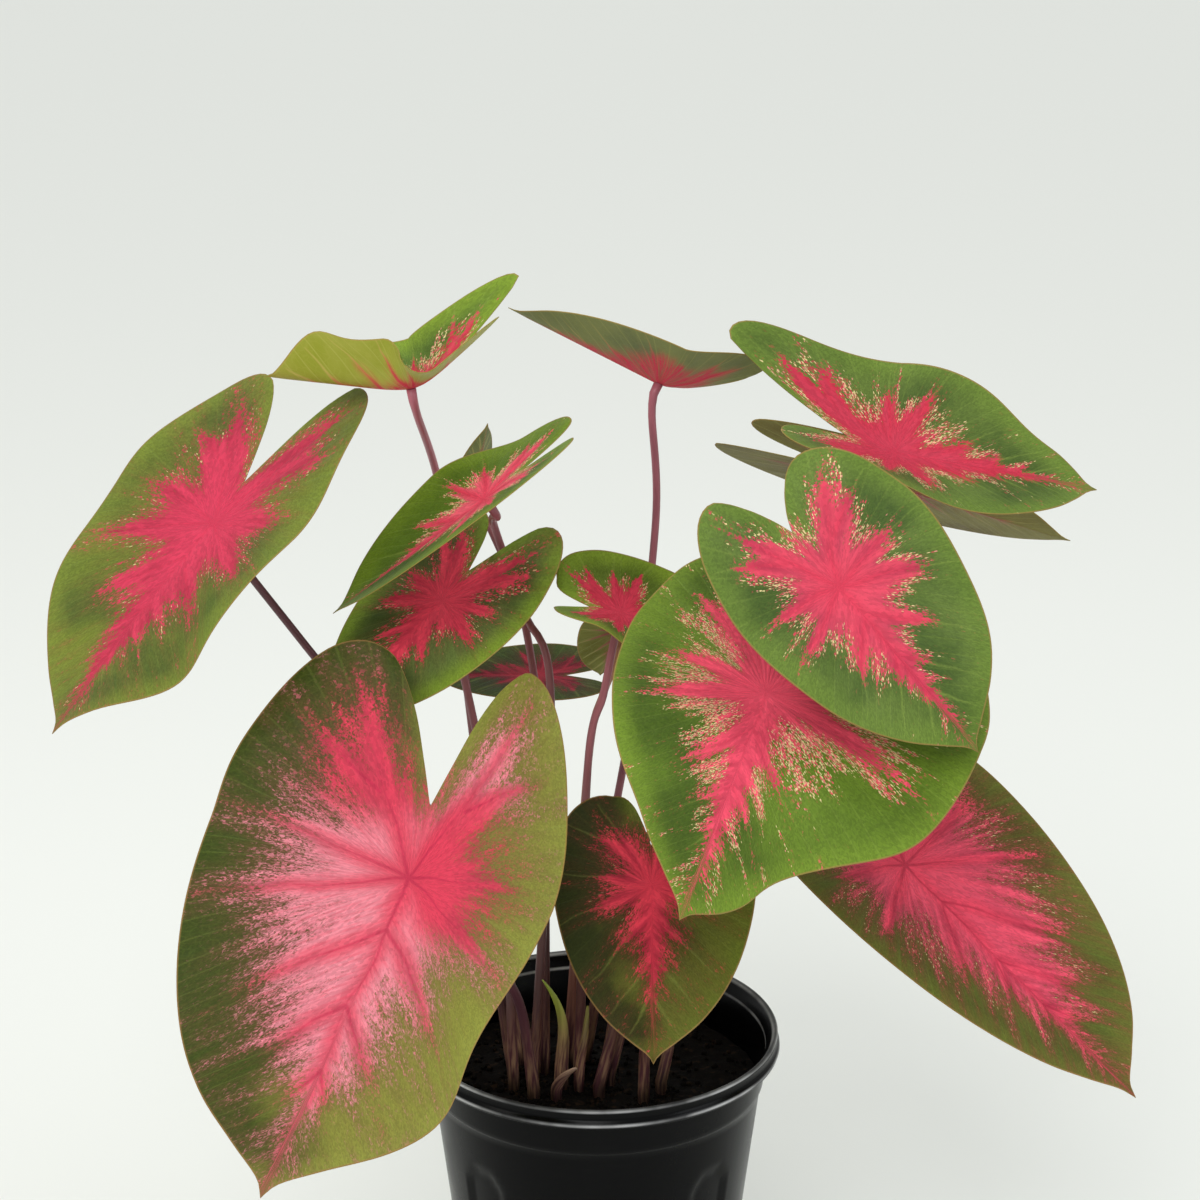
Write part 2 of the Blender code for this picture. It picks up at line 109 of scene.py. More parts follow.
def makeMesh(name, points, faces, materials=()):
    mesh = bpy.data.meshes.new(name)
    mesh.from_pydata([tuple(p) for p in points], [], faces)
    for material in materials:
        mesh.materials.append(material)
    return mesh


def addPiece(name, points, faces, materials, replaced=None):
    # one closed mesh piece that rides with the plant
    mesh = makeMesh(name, points, faces, materials)
    mesh.update()
    mesh.shade_smooth()
    piece = addObject(name, mesh)
    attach(piece, "root")
    if replaced:
        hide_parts(replaced)
    return piece


def between(low, high):
    # the faces between two closed rings of point numbers, either of which may be one point
    nextLow, nextHigh = [*low[1:], low[0]], [*high[1:], high[0]]
    return [tuple(dict.fromkeys(face)) for face in zip(low, nextLow, nextHigh, high)]


def markPoints(piece, key, values):
    layer = piece.data.attributes.new(key, "FLOAT_VECTOR", "POINT")
    layer.data.foreach_set("vector", values.astype(np.float32).ravel())


def smoothLine(points, count):
    # a Catmull-Rom line through the points, read at even distances
    given = np.array(points, float)
    padded = np.vstack([2 * given[0] - given[1], given, 2 * given[-1] - given[-2]])
    dense = []
    for a, b, c, d in zip(padded, padded[1:], padded[2:], padded[3:]):
        for t in np.linspace(0, 1, 16, endpoint=False):
            dense.append(
                b + 0.5 * t * (c - a)
                + t * t * (a - 2.5 * b + 2 * c - 0.5 * d)
                + t ** 3 * (1.5 * (b - c) + 0.5 * (d - a))
            )
    dense.append(given[-1])
    dense = np.array(dense)
    along = np.concatenate([[0], np.cumsum(np.linalg.norm(np.diff(dense, axis=0), axis=1))])
    places = np.linspace(0, along[-1], count)
    return np.column_stack([np.interp(places, along, axis) for axis in dense.T])


def smoothStep(value):
    value = np.clip(value, 0, 1)
    return value * value * (3 - 2 * value)


def turn(axis, angle):
    return np.array(Matrix.Rotation(angle, 3, Vector(axis)))


# Camera, matched to the pot's rim and sides
view = dict(place=(0.0014, -1.2092, 0.7653), pitch=18.234, fieldOfView=22.904)

cameraData = bpy.data.cameras.new("camera")
cameraData.angle = math.radians(view["fieldOfView"])
cameraData.clip_end = 500
camera = addObject("camera", cameraData)
camera.location = view["place"]
camera.rotation_euler = (math.radians(90 - view["pitch"]), 0, 0)
bpy.context.scene.camera = camera


# Pot: blow-moulded black polypropylene, a satin skin with soft broad highlights and fine scuffs
potLow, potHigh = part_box("pot")
pot = dict(
    height=potHigh.z, rim=(potHigh.x - potLow.x) / 2, base=0.058, wall=0.0016, floor=0.002,
    lipDepth=0.0042, lipHeight=0.009, stepBelowLip=0.015, stepDepth=0.001,
    segments=192, arches=(45, 135, 225, 315), archWidth=18, archTop=0.121, archDepth=0.0013,
    drainCount=8, drainRadius=0.005, drainRing=0.043, drainSides=24, drainCut=(-0.004, 0.008),
    plastic="#030304", worn="#0e0e10", grit=0.0004,
    patches=22.0, scuffs=60.0,     # noise cells per metre
    # the lip's ridges, then the width and pale grey of the painted highlight along them
    ridges=(0.158, 0.1642), highlightLineWidth=0.0011, paintedRidgeHighlight="#c4c4c6", roughness=(0.20, 0.32),
)


def wallRadius(height):
    return pot["base"] + (pot["rim"] - pot["lipDepth"] - pot["base"]) * height / pot["height"]


def potProfile():
    # (radius, height) round the closed wall: up the outside, over the lip, down the inside
    top, lip = pot["height"], pot["height"] - pot["lipHeight"]
    step = lip - pot["stepBelowLip"]
    rim, wall = pot["rim"], pot["wall"]
    base, deep = pot["base"], pot["stepDepth"]
    outside = [(0, 0.0012), (base - 0.012, 0.0012), (base - 0.010, 0), (base - 0.002, 0)]
    outside += [(base - 0.0006, 0.0006), (base, 0.002)]
    for height in np.linspace(0.004, step - 0.0015, 44):
        outside.append((wallRadius(height) - deep, height))
    outside += [(wallRadius(step) - deep * 0.5, step - 0.0006), (wallRadius(step), step + 0.0002)]
    outside += [(wallRadius(h), h) for h in np.linspace(step + 0.002, lip - 0.001, 5)]
    outside += [(wallRadius(lip) + 0.0003, lip - 0.0002), (wallRadius(lip) + 0.0012, lip)]
    outside += [(rim - inset, lip + rise) for inset, rise in (
        (0.0010, 0.0001), (0.0003, 0.0006), (0, 0.0015), (0.0001, 0.0026), (0.0006, 0.0034),
        (0.0013, 0.0040), (0.0015, 0.0052), (0.0015, 0.0066), (0.0012, 0.0074),
    )]
    outside += [(rim - inset, top - drop) for inset, drop in (
        (0.0009, 0.0009), (0.0013, 0.0003), (0.0020, 0), (0.0028, 0.0003), (0.0034, 0.0012),
    )]
    inside = [(wallRadius(top) - wall, top - 0.004)]
    inside += [(wallRadius(h) - wall - deep, h) for h in np.linspace(step - 0.001, 0.006, 24)]
    inside += [(base - wall - 0.0008, pot["floor"] + 0.0012)]
    inside += [(base - wall - 0.003, pot["floor"]), (0, pot["floor"])]
    return outside + inside


def archMask(angle, height):
    # 1 on the sunken grip panels, which have round tops and open into the base
    near = min(abs((angle - a + 180) % 360 - 180) for a in pot["arches"]) / pot["archWidth"] * 2
    crown = pot["archTop"] - 0.014 * (1 - math.sqrt(max(0, 1 - min(1, near) ** 2)))
    across = smoothStep((1 - near) / 0.16)
    return float(across * smoothStep((crown - height) / 0.0022) * smoothStep(height / 0.012))


def turnedPiece(name, profile, segments, shape, materials, replaced):
    # a solid turned about the pot's axis, from axis to axis; shape moves each point
    points, rings = [], []
    for radius, height in profile:
        if radius == 0:
            rings.append([len(points)] * segments)
            points.append((0, 0, height))
            continue
        rings.append(range(len(points), len(points) + segments))
        for i in range(segments):
            points.append(shape(radius, 360 * i / segments, height))
    faces = [face for low, high in zip(rings, rings[1:]) for face in between(low, high)]
    return addPiece(name, points, faces, materials, replaced)


def potPoint(radius, angle, height):
    if radius > pot["base"] - 0.005:
        radius -= pot["archDepth"] * archMask(angle, height)
    a = math.radians(angle)
    return radius * math.cos(a), radius * math.sin(a), height


def potMaterial():
    material, add = startMaterial("satin black polypropylene", IOR=1.49, Specular_IOR_Level=0.10)
    place = add("NewGeometry")["Position"]
    broad = add("TexNoise", {"Vector": place, "Scale": pot["patches"], "Detail": 4.0})["Fac"]
    turned = add("VectorMath", (place, (1, 1, 14)), **multiply)[0]
    scuffs = add("TexNoise", {
        "Vector": turned, "Scale": pot["scuffs"], "Detail": 6.0, "Roughness": 0.7,
    })["Fac"]
    grit = add("TexNoise", {"Vector": place, "Scale": 0.25 / pot["grit"], "Detail": 2.0})["Fac"]
    worn = add("MapRange", (scuffs, 0.52, 0.78, 0.0, 0.55))[0]
    # the two ridges of the lip get a painted highlight: a pale grey line, broken into patches
    height = add("SeparateXYZ", [place])["Z"]
    onRidge = []
    for ridge in pot["ridges"]:
        away = add("Math", (height, ridge), **subtract)[0]
        away = add("Math", [away], operation="ABSOLUTE")[0]
        onRidge.append((away, pot["highlightLineWidth"], 0.0))
    paintedRidgeHighlight = add("Math", onRidge, operation="MAXIMUM")[0]
    patchy = add("MapRange", (broad, 0.35, 0.6, 0.15, 1.0))[0]
    paintedRidgeHighlight = add("Math", (paintedRidgeHighlight, patchy), **multiply)[0]
    colour = layColours(add, linearOf(pot["plastic"]), (worn, linearOf(pot["worn"])),
                        (paintedRidgeHighlight, linearOf(pot["paintedRidgeHighlight"])))
    rough = add("MapRange", (broad, 0.3, 0.7, *pot["roughness"]))[0]
    relief = add("Bump", {"Height": grit, "Strength": 0.25, "Distance": 0.00008})["Normal"]
    return feedShader(material, Base_Color=colour, Roughness=rough, Normal=relief)


def drilled(piece):
    # the drain holes, cut through the floor and applied
    points, faces, sides = [], [], pot["drainSides"]
    for i in range(pot["drainCount"]):
        around = 2 * math.pi * (i + 0.5) / pot["drainCount"]
        x, y = pot["drainRing"] * math.cos(around), pot["drainRing"] * math.sin(around)
        start = len(points)
        for height in pot["drainCut"]:
            for k in range(sides):
                a = 2 * math.pi * k / sides
                points.append((x + pot["drainRadius"] * math.cos(a),
                               y + pot["drainRadius"] * math.sin(a), height))
        low, high = range(start, start + sides), range(start + sides, start + 2 * sides)
        faces += [low[::-1], high, *between(low, high)]
    cutter = addObject("drainCutter", makeMesh("drainCutter", points, faces))
    modifier = piece.modifiers.new("drain", "BOOLEAN")
    modifier.operation = "DIFFERENCE"
    modifier.solver = "EXACT"
    modifier.object = cutter
    bpy.context.view_layer.update()
    cut = piece.evaluated_get(bpy.context.evaluated_depsgraph_get())
    done = bpy.data.meshes.new_from_object(cut)
    piece.modifiers.clear()
    piece.data = done
    bpy.data.objects.remove(cutter)


potPiece = turnedPiece(
    "potShell", potProfile(), pot["segments"], potPoint, [potMaterial()], "pot",
)
drilled(potPiece)
print("pot made")


# Soil: dark peat mix, loose moist crumbs that swallow nearly all light, with bits of bark
soil = dict(
    top=0.140, swell=0.0025, moundMiddle=(-0.015, -0.008), moundRadius=0.035, rippleShare=0.4,
    edge=wallRadius(0.140) - pot["wall"] - pot["stepDepth"] - 0.0002,
    rings=56, segments=180, lump=0.0022, crumbs=640, crumbSize=(0.0008, 0.0026), seed=7,
    heaped=240, heapRing=0.0042,     # crumbs that lie against the feet of the stalks
    peat="#080504", fibre="#17100b", bark="#2c1e14", grain=0.0007, chip=0.0021,
)


def soilHeight(x, y):
    mound = math.exp(-(math.dist(soil["moundMiddle"], (x, y)) / soil["moundRadius"]) ** 2)
    ripple = math.sin(110 * x + 1.0) * math.cos(95 * y - 0.6)
    return soil["top"] + soil["swell"] * (mound + soil["rippleShare"] * ripple)


def soilLump(x, y):
    # lumps of a few millimetres and grains on top of them
    coarse = noise.fractal(Vector((x, y, 0.3)) * 160, 1.0, 2.0, 3)
    return soil["lump"] * 0.5 * coarse - 0.0004


def soilMaterial():
    material, add = startMaterial(
        "moist peat soil", Roughness=0.95, IOR=1.33, Specular_IOR_Level=0.25)
    place = add("NewGeometry")["Position"]
    grain = add("TexNoise", {
        "Vector": place, "Scale": 1 / soil["grain"] / 3, "Detail": 6.0, "Roughness": 0.7,
    })["Fac"]
    chips = add("TexVoronoi", {"Vector": place, "Scale": 1 / soil["chip"]})["Color"]
    chips = add("SeparateColor", [chips])["Red"]
    fibres = add("MapRange", (grain, 0.45, 0.75))[0]
    chips = add("MapRange", (chips, 0.9, 0.96, 0.0, 0.7))[0]
    colour = layColours(add, linearOf(soil["peat"]), (fibres, linearOf(soil["fibre"])),
                        (chips, linearOf(soil["bark"])))
    relief = add("Bump", {"Height": grain, "Strength": 0.9, "Distance": 0.0008})["Normal"]
    return feedShader(material, Base_Color=colour, Normal=relief)


def soilPoint(radius, angle, height):
    x, y = radius * math.cos(math.radians(angle)), radius * math.sin(math.radians(angle))
    if height < soil["top"] - 0.001:
        return x, y, height
    return x, y, soilHeight(x, y) + soilLump(x, y)


def soilProfile():
    low = pot["floor"] + 0.0003
    inner = [(wallRadius(h) - pot["wall"] - pot["stepDepth"] - 0.0006, h)
             for h in np.linspace(low, soil["top"] - 0.003, 8)]
    inner[0] = (pot["base"] - pot["wall"] - 0.0036, low)
    rings = [(soil["edge"] * part, soil["top"]) for part in np.linspace(1, 0.012, soil["rings"])]
    return [(0, low)] + inner + rings + [(0, soil["top"])]


def addCrumbs(material, feet):
    # loose crumbs, pressed a little into the surface; some lie against the feet
    rng = np.random.default_rng(soil["seed"])
    ring = [(0.9, 0), (0.28, 0.85), (-0.72, 0.53), (-0.72, -0.53), (0.28, -0.85)]
    ball = [Vector(v) for v in (
        (0, 0, 1), *[(x, y, 0.45) for x, y in ring],
        *[(-x, -y, -0.45) for x, y in ring[3:] + ring[:3]], (0, 0, -1),
    )]
    pairs = [(i, (i + 1) % 5) for i in range(5)]
    ballFaces = [(0, 1 + i, 1 + j) for i, j in pairs]
    ballFaces += [(1 + i, 6 + i, 1 + j) for i, j in pairs]
    ballFaces += [(6 + i, 6 + j, 1 + j) for i, j in pairs]
    ballFaces += [(11, 6 + j, 6 + i) for i, j in pairs]
    points, faces = [], []
    for i in range(soil["crumbs"]):
        size = rng.uniform(*soil["crumbSize"]) * rng.uniform(0.6, 1)
        around = rng.uniform(0, 2 * math.pi)
        if i < soil["heaped"]:
            away = soil["heapRing"] * rng.uniform(0.85, 1.5)
            x, y = feet[i % len(feet)]
            x, y = x + away * math.cos(around), y + away * math.sin(around)
        else:
            away = (soil["edge"] - 0.004) * math.sqrt(rng.uniform(0, 1))
            x, y = away * math.cos(around), away * math.sin(around)
        middle = Vector((x, y, soilHeight(x, y) + soilLump(x, y) + size * 0.25))
        spin = Matrix.Rotation(rng.uniform(0, 6.28), 3, "Z")
        spin = spin @ Matrix.Rotation(rng.uniform(0, 3), 3, "X")
        start = len(points)
        for corner in ball:
            shape = Vector([c * rng.uniform(0.6, 1.15) for c in corner])
            points.append(middle + spin @ (shape * size))
        faces += [tuple(start + k for k in face) for face in ballFaces]
    return addPiece("soilCrumbs", points, faces, [material])


soilFinish = soilMaterial()
turnedPiece("soilBed", soilProfile(), soil["segments"], soilPoint, [soilFinish],
            "soil")
print("soil made")


# Tubers: corky brown skin with ring scars, buried in the soil
tuber = dict(cork="#6b4a33", scar="#3a261a", ringSpacing=0.0025, roughSkin=700.0)


def tuberMaterial():
    material, add = startMaterial("corky tuber skin", Roughness=0.85)
    place = add("NewGeometry")["Position"]
    rings = add("TexWave", {
        "Vector": place, "Scale": 1 / tuber["ringSpacing"] / 6.28 * 2, "Distortion": 3.0,
        "Detail": 3.0,
    }, bands_direction="Z")["Fac"]
    skin = add("TexNoise", {"Vector": place, "Scale": tuber["roughSkin"], "Detail": 5.0})["Fac"]
    both = add("Math", (rings, skin), **multiply)[0]
    colour = layColours(add, linearOf(tuber["scar"]), (both, linearOf(tuber["cork"])))
    relief = add("Bump", {"Height": both, "Strength": 0.8, "Distance": 0.0006})["Normal"]
    return feedShader(material, Base_Color=colour, Normal=relief)


tuberSkin = tuberMaterial()
for node in ("tuber_large", "tuber_small"):
    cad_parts[node].data.materials.clear()
    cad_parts[node].data.materials.append(tuberSkin)


# Leaf blades. The shapes repeat those of the solids; see plainLeaf for the words.
# Right half of a flat leaf from the tip round to the notch, for a midrib of length 1;
# the stalk joins at (0, 0), the first number is across, the second towards the tip.
halfLeaf = [
    (0.0, 1.0), (0.028, 0.95), (0.11, 0.88), (0.22, 0.775), (0.32, 0.63), (0.40, 0.455),
    (0.457, 0.25), (0.487, 0.05), (0.49, -0.15), (0.455, -0.33), (0.40, -0.475),
    (0.32, -0.58), (0.23, -0.62), (0.15, -0.59), (0.088, -0.50), (0.04, -0.37), (0.0, -0.24),
]
shaping = dict(lobeEnd=0.62, lobeReach=0.2, bellyMiddle=0.72, bellySpread=0.2, notchSpread=0.08,
               leanStart=0.1, foldReach=0.05, bendReach=0.3)

#   joint    where the stalk meets the blade        length   stalk to tip
#   tip      azimuth and slope of the midrib; azimuth 0 points at -Y and 90 at +X
#   roll     lean of the upper face to the leaf's own right
#   width, lobe   stretch of each half, left then right, and of its back lobe
#   fold     rise of each half from the midrib, unfold its change towards the lobes
#   bend     rise of the front and back of the midrib beside the stalk
#   curl     droop of the midrib to the tip, twist its turn
#   lean     sideways lean of the lobes          belly    swell of each half towards the tip
#   notch    shift of the notch away from the joint
#   waves    (height, waves round the margin, start angle)
#   foot     where the stalk leaves the soil, via points that it passes on the way
plainLeaf = dict(
    roll=0, width=(1, 1), lobe=(1, 1), fold=(5, 5), unfold=(0, 0), bend=(0, 0),
    curl=0, twist=0, lean=0, belly=(0, 0), notch=0, waves=(), via=(),
)
leaves = {
    "left": dict(
        joint=(-0.161, -0.020, 0.4075), length=0.112, tip=(-44, -35), roll=3,
        width=(1.02, 1.18), lobe=(1.22, 1.12), fold=(4, 8), curl=10, lean=0.12,
        belly=(0.5, 0), notch=-0.03, waves=((0.003, 6, 150),), foot=(-0.038, -0.004),
    ),
    "top_left": dict(
        joint=(-0.078, 0.0, 0.461), length=0.063, tip=(-90, -9),
        width=(0.95, 1), lobe=(1.3, 1.65), fold=(70, 30), unfold=(-55, 6), bend=(14, 31),
        belly=(0.6, 0), foot=(-0.034, 0.008),
        via=((-0.050, 0.036, 0.240), (-0.060, 0.050, 0.320), (-0.069, 0.050, 0.400)),
    ),
    "top": dict(
        joint=(0.027, 0.040, 0.453), length=0.073, tip=(-90, 27), roll=20,
        fold=(24, 22), bend=(0, 30), foot=(-0.014, 0.014),
        via=((0.014, 0.040, 0.287), (0.026, 0.048, 0.386)),
    ),
    "top_right": dict(
        joint=(0.126, 0.0, 0.433), length=0.088, tip=(90, -10), roll=22,
        width=(1.05, 1.1), lobe=(1.55, 1), fold=(22, 22), bend=(0, 15), curl=5, twist=22,
        belly=(-0.2, 0), waves=((0.005, 4, 20),), foot=(0.004, -0.001),
    ),
    "upper_right_back": dict(
        joint=(0.125, 0.050, 0.406), length=0.090, tip=(90, -18), roll=-40,
        width=(1, 0.6), lobe=(1.3, 1.2), fold=(10, 10), foot=(-0.005, 0.010),
    ),
    "right": dict(
        joint=(0.0965, -0.088, 0.4015), length=0.086, tip=(53, -39), roll=40,
        width=(1.15, 1.03), lobe=(1, 1.10), fold=(3, 3), curl=5, belly=(0.05, 0),
        notch=0.1, waves=((0.0015, 7, 0),), foot=(0.006, -0.012),
        via=((0.035, -0.008, 0.260), (0.072, -0.018, 0.345), (0.086, -0.040, 0.385)),
    ),
    "right_front": dict(
        joint=(0.069, -0.080, 0.353), length=0.134, tip=(-17, -18), roll=-14,
        width=(1.36, 0.95), fold=(3, 3), curl=5, twist=-22, belly=(-0.42, -0.15),
        waves=((0.002, 8, 30),), foot=(0.001, -0.022),
        via=((0.024, -0.024, 0.240), (0.050, -0.040, 0.315)),
    ),
    "centre": dict(
        joint=(0.011, 0.0, 0.361), length=0.060, tip=(98, -14), roll=25,
        width=(1.15, 1), lobe=(0.8, 0.85), fold=(8, 5), unfold=(0, 25),
        foot=(-0.008, -0.004), via=((-0.004, -0.004, 0.290), (0.003, -0.003, 0.325)),
    ),
    "left_middle": dict(
        joint=(-0.047, -0.020, 0.418), length=0.082, tip=(-90, -38),
        width=(0.9, 0.85), lobe=(0.95, 0.93), fold=(4, 34), unfold=(0, -25),
        foot=(-0.028, -0.012),
        via=((-0.020, 0.009, 0.316), (-0.032, 0.023, 0.354), (-0.045, 0.032, 0.391)),
    ),
    "left_lower": dict(
        joint=(-0.067, 0.005, 0.365), length=0.075, tip=(-50, -35), roll=-10,
        width=(1.3, 1), lobe=(1.15, 1), foot=(-0.037, -0.016),
    ),
    "front_large": dict(
        joint=(-0.074, -0.135, 0.295), length=0.143, tip=(-25, -35), roll=-10,
        width=(0.86, 1.22), lobe=(1.2, 1.12), fold=(3, 5), lean=0.2, belly=(0.42, 0.04),
        waves=((0.002, 7, 60),), foot=(-0.028, -0.026),
    ),
    "front_small": dict(
        joint=(0.023, -0.070, 0.264), length=0.080, tip=(0, -40),
        width=(1.12, 1.06), lobe=(0.85, 0.85), foot=(0.021, -0.027),
    ),
    "right_low": dict(
        joint=(0.136, 0.0, 0.244), length=0.146, tip=(44, -27), roll=7,
        width=(1, 0.74), foot=(0.029, -0.017),
        via=((0.046, -0.006, 0.215), (0.085, 0.006, 0.244)),
    ),
    "back_low": dict(
        joint=(-0.027, 0.080, 0.304), length=0.051, tip=(-90, 0), roll=-12,
        foot=(-0.024, 0.012),
    ),
    "back_young": dict(
        joint=(-0.057, 0.075, 0.391), length=0.037, tip=(60, 75), fold=(10, 10),
        foot=(-0.024, 0.001),
    ),
    "centre_hanging": dict(
        joint=(0.009, 0.018, 0.347), length=0.036, tip=(-160, -52), lobe=(0.6, 0.6),
        foot=(-0.013, 0.004), via=((-0.004, 0.010, 0.286), (0.003, 0.012, 0.320)),
    ),
}
leaves = {name: {**plainLeaf, **values} for name, values in leaves.items()}


def leafFrame(leaf):
    # columns: the leaf's right, the way to its tip, and out of its upper face
    azimuth, slope = (math.radians(a) for a in leaf["tip"])
    flat = math.cos(slope)
    ahead = np.array([math.sin(azimuth) * flat, -math.cos(azimuth) * flat, math.sin(slope)])
    upward = np.array([0, 0, 1.0]) - ahead * ahead[2]
    upward = turn(ahead, math.radians(leaf["roll"])) @ (upward / np.linalg.norm(upward))
    return np.column_stack([np.cross(ahead, upward), ahead, upward])


def midribLine(leaf, steps=50):
    # places and frames along the midrib, from the lobes (-1) to the tip (1)
    reach = shaping["bendReach"]
    step = 1 / steps
    frames, places = {0: np.eye(3)}, {0: np.zeros(3)}
    curl, droop, front, back = (
        math.radians(a) for a in (leaf["curl"], leaf["twist"], *leaf["bend"])
    )
    for i in range(steps):
        near = max(0.0, 1 - i * step / reach) * 2 / reach
        bent = frames[i] @ turn((1, 0, 0), (front * near - curl) * step)
        frames[i + 1] = bent @ turn((0, 1, 0), droop * step)
        places[i + 1] = places[i] + frames[i + 1][:, 1] * step
        frames[-i - 1] = frames[-i] @ turn((1, 0, 0), -back * near * step)
        places[-i - 1] = places[-i] - frames[-i - 1][:, 1] * step
    order = range(-steps, steps + 1)
    return np.array([places[i] for i in order]), np.array([frames[i] for i in order])


def leafSurface(leaf, flat):
    # lifts points of the flat leaf, for a midrib of length 1, to their places in space
    across, along = flat[:, 0], flat[:, 1]
    right = across >= 0
    away = np.abs(across)
    toLobe = smoothStep((0.2 - along) / 0.5)
    angle = np.radians(
        np.where(right, leaf["fold"][1], leaf["fold"][0])
        + np.where(right, leaf["unfold"][1], leaf["unfold"][0]) * toLobe
    )
    steps = 24
    out, rise = np.zeros(len(flat)), np.zeros(len(flat))
    for j in range(steps):
        slope = angle * (1 - np.exp(-away * (j + 0.5) / steps / shaping["foldReach"]))
        out += np.cos(slope) * away / steps
        rise += np.sin(slope) * away / steps
    out = np.where(right, out, -out)
    behind = np.maximum(0.0, -along)
    out += leaf["lean"] * behind ** 2 / (behind + shaping["leanStart"])
    around = np.arctan2(across, along)
    margin = np.clip(np.hypot(across, along) - 0.2, 0, 1) ** 1.5 * 2
    for height, count, start in leaf["waves"]:
        wave = np.sin(count * around + math.radians(start))
        rise = rise + height / leaf["length"] * wave * margin
    places, frames = midribLine(leaf)
    within = np.clip(along, -1, 1)
    at = (within + 1) / 2 * (len(places) - 1)
    low = np.minimum(at.astype(int), len(places) - 2)
    share = (at - low)[:, None]
    place = places[low] * (1 - share) + places[low + 1] * share
    share = share[:, :, None]
    frames = frames[low] * (1 - share) + frames[low + 1] * share
    place = place + frames[:, :, 1] * (along - within)[:, None]
    local = place + frames[:, :, 0] * out[:, None] + frames[:, :, 2] * rise[:, None]
    return np.array(leaf["joint"]) + leaf["length"] * local @ leafFrame(leaf).T


def leafOutline(leaf, rays):
    # the flat margin from the tip round the right half to the notch and back by the left
    halves = []
    for side in (1, 0):
        half = smoothLine(halfLeaf, rays // 2 + 1)
        half[:, 0] *= leaf["width"][side]
        grow = np.clip(-half[:, 1] / shaping["lobeEnd"], 0, 1)
        grow *= np.clip(half[:, 0] / shaping["lobeReach"], 0, 1)
        half[:, 1] *= 1 + (leaf["lobe"][side] - 1) * grow
        swell = np.exp(-((half[:, 1] - shaping["bellyMiddle"]) / shaping["bellySpread"]) ** 2)
        half[:, 0] *= 1 + leaf["belly"][side] * swell
        behind = half[:, 1] < 0
        half[:, 1] -= (
            leaf["notch"] * behind * np.exp(-(half[:, 0] / shaping["notchSpread"]) ** 2)
        )
        halves.append(half)
    right, left = halves
    return np.vstack([right, left[1:-1][::-1] * [-1, 1]])


# Veins of one half leaf in midrib lengths: start, end, half width of the red along it
# and the share of its length that is red. Each bows a little towards the tip.
veinNet = dict(
    bow=0.3,
    veins=[
        ((0, 0), (0, 0.98), 0.105, 1.0),
        ((0, 0), (0.48, 0.20), 0.10, 0.92),
        ((0, 0), (0.47, -0.13), 0.09, 0.88),
        ((0, 0), (0.27, -0.56), 0.105, 1.06),
        ((0.12, -0.22), (0.42, -0.43), 0.06, 0.85),
        ((0, 0.17), (0.30, 0.53), 0.055, 0.8),
        ((0, 0.42), (0.20, 0.71), 0.022, 0.55),
        ((0, 0.62), (0.11, 0.83), 0.010, 0.4),
        ((0, 0), (0, 0.99), 0.018, 1.28),      # the thin red line down to the tip
    ],
    taper=1.6,         # how fast the red narrows along a vein
    merge=0.03, mergeBody=0.04,     # rounding where arms of the star meet, and meet its body
    thinning=0.012,    # how much farther from a vein line its end counts
    armEnd=0.03,       # how far the star drops where the red of a vein ends
    spacing=0.0085,    # between the fine side veins
    rib=0.0011,        # height of the midrib under the blade, near the stalk
    groove=0.0005,     # depth of a vein on top
    puff=0.00035,      # swelling between the side veins
    blade=0.0005, edge=0.0003,
)


def veinDistances(place):
    # for every vein: distance to it and share of its length, in midrib lengths
    across = np.abs(place[:, 0])
    point = np.column_stack([across, place[:, 1] - veinNet["bow"] * across ** 2])
    found = []
    for start, end, _, _ in veinNet["veins"]:
        start, way = np.array(start), np.array(end) - np.array(start)
        share = np.clip((point - start) @ way / (way @ way), 0, 1)
        found.append((np.linalg.norm(point - start - share[:, None] * way, axis=1), share))
    return found


def streakPlace(place):
    # which fine side vein a point lies on, and how far out along it
    across = np.abs(place[:, 0])
    bowed = place[:, 1] - veinNet["bow"] * across ** 2
    origin = np.maximum(0, bowed - 1.1 * across)
    lane = origin + 0.5 * (math.pi - np.arctan2(across, bowed - origin + 1e-9))
    return lane, np.hypot(across, bowed - origin)


def leafGrid(leaf):
    # rays round the joint and rings out to the margin, about 2 mm apart
    perimeter = 3.4 * leaf["length"]
    rays = max(64, 2 * round(perimeter / 0.0021 / 2))
    rings = max(14, round(0.55 * leaf["length"] / 0.0019))
    parts = np.linspace(0, 1, rings + 1)[1:]
    parts = np.append(parts[:-1], [1 - 0.35 / rings, 1])
    return rays, parts


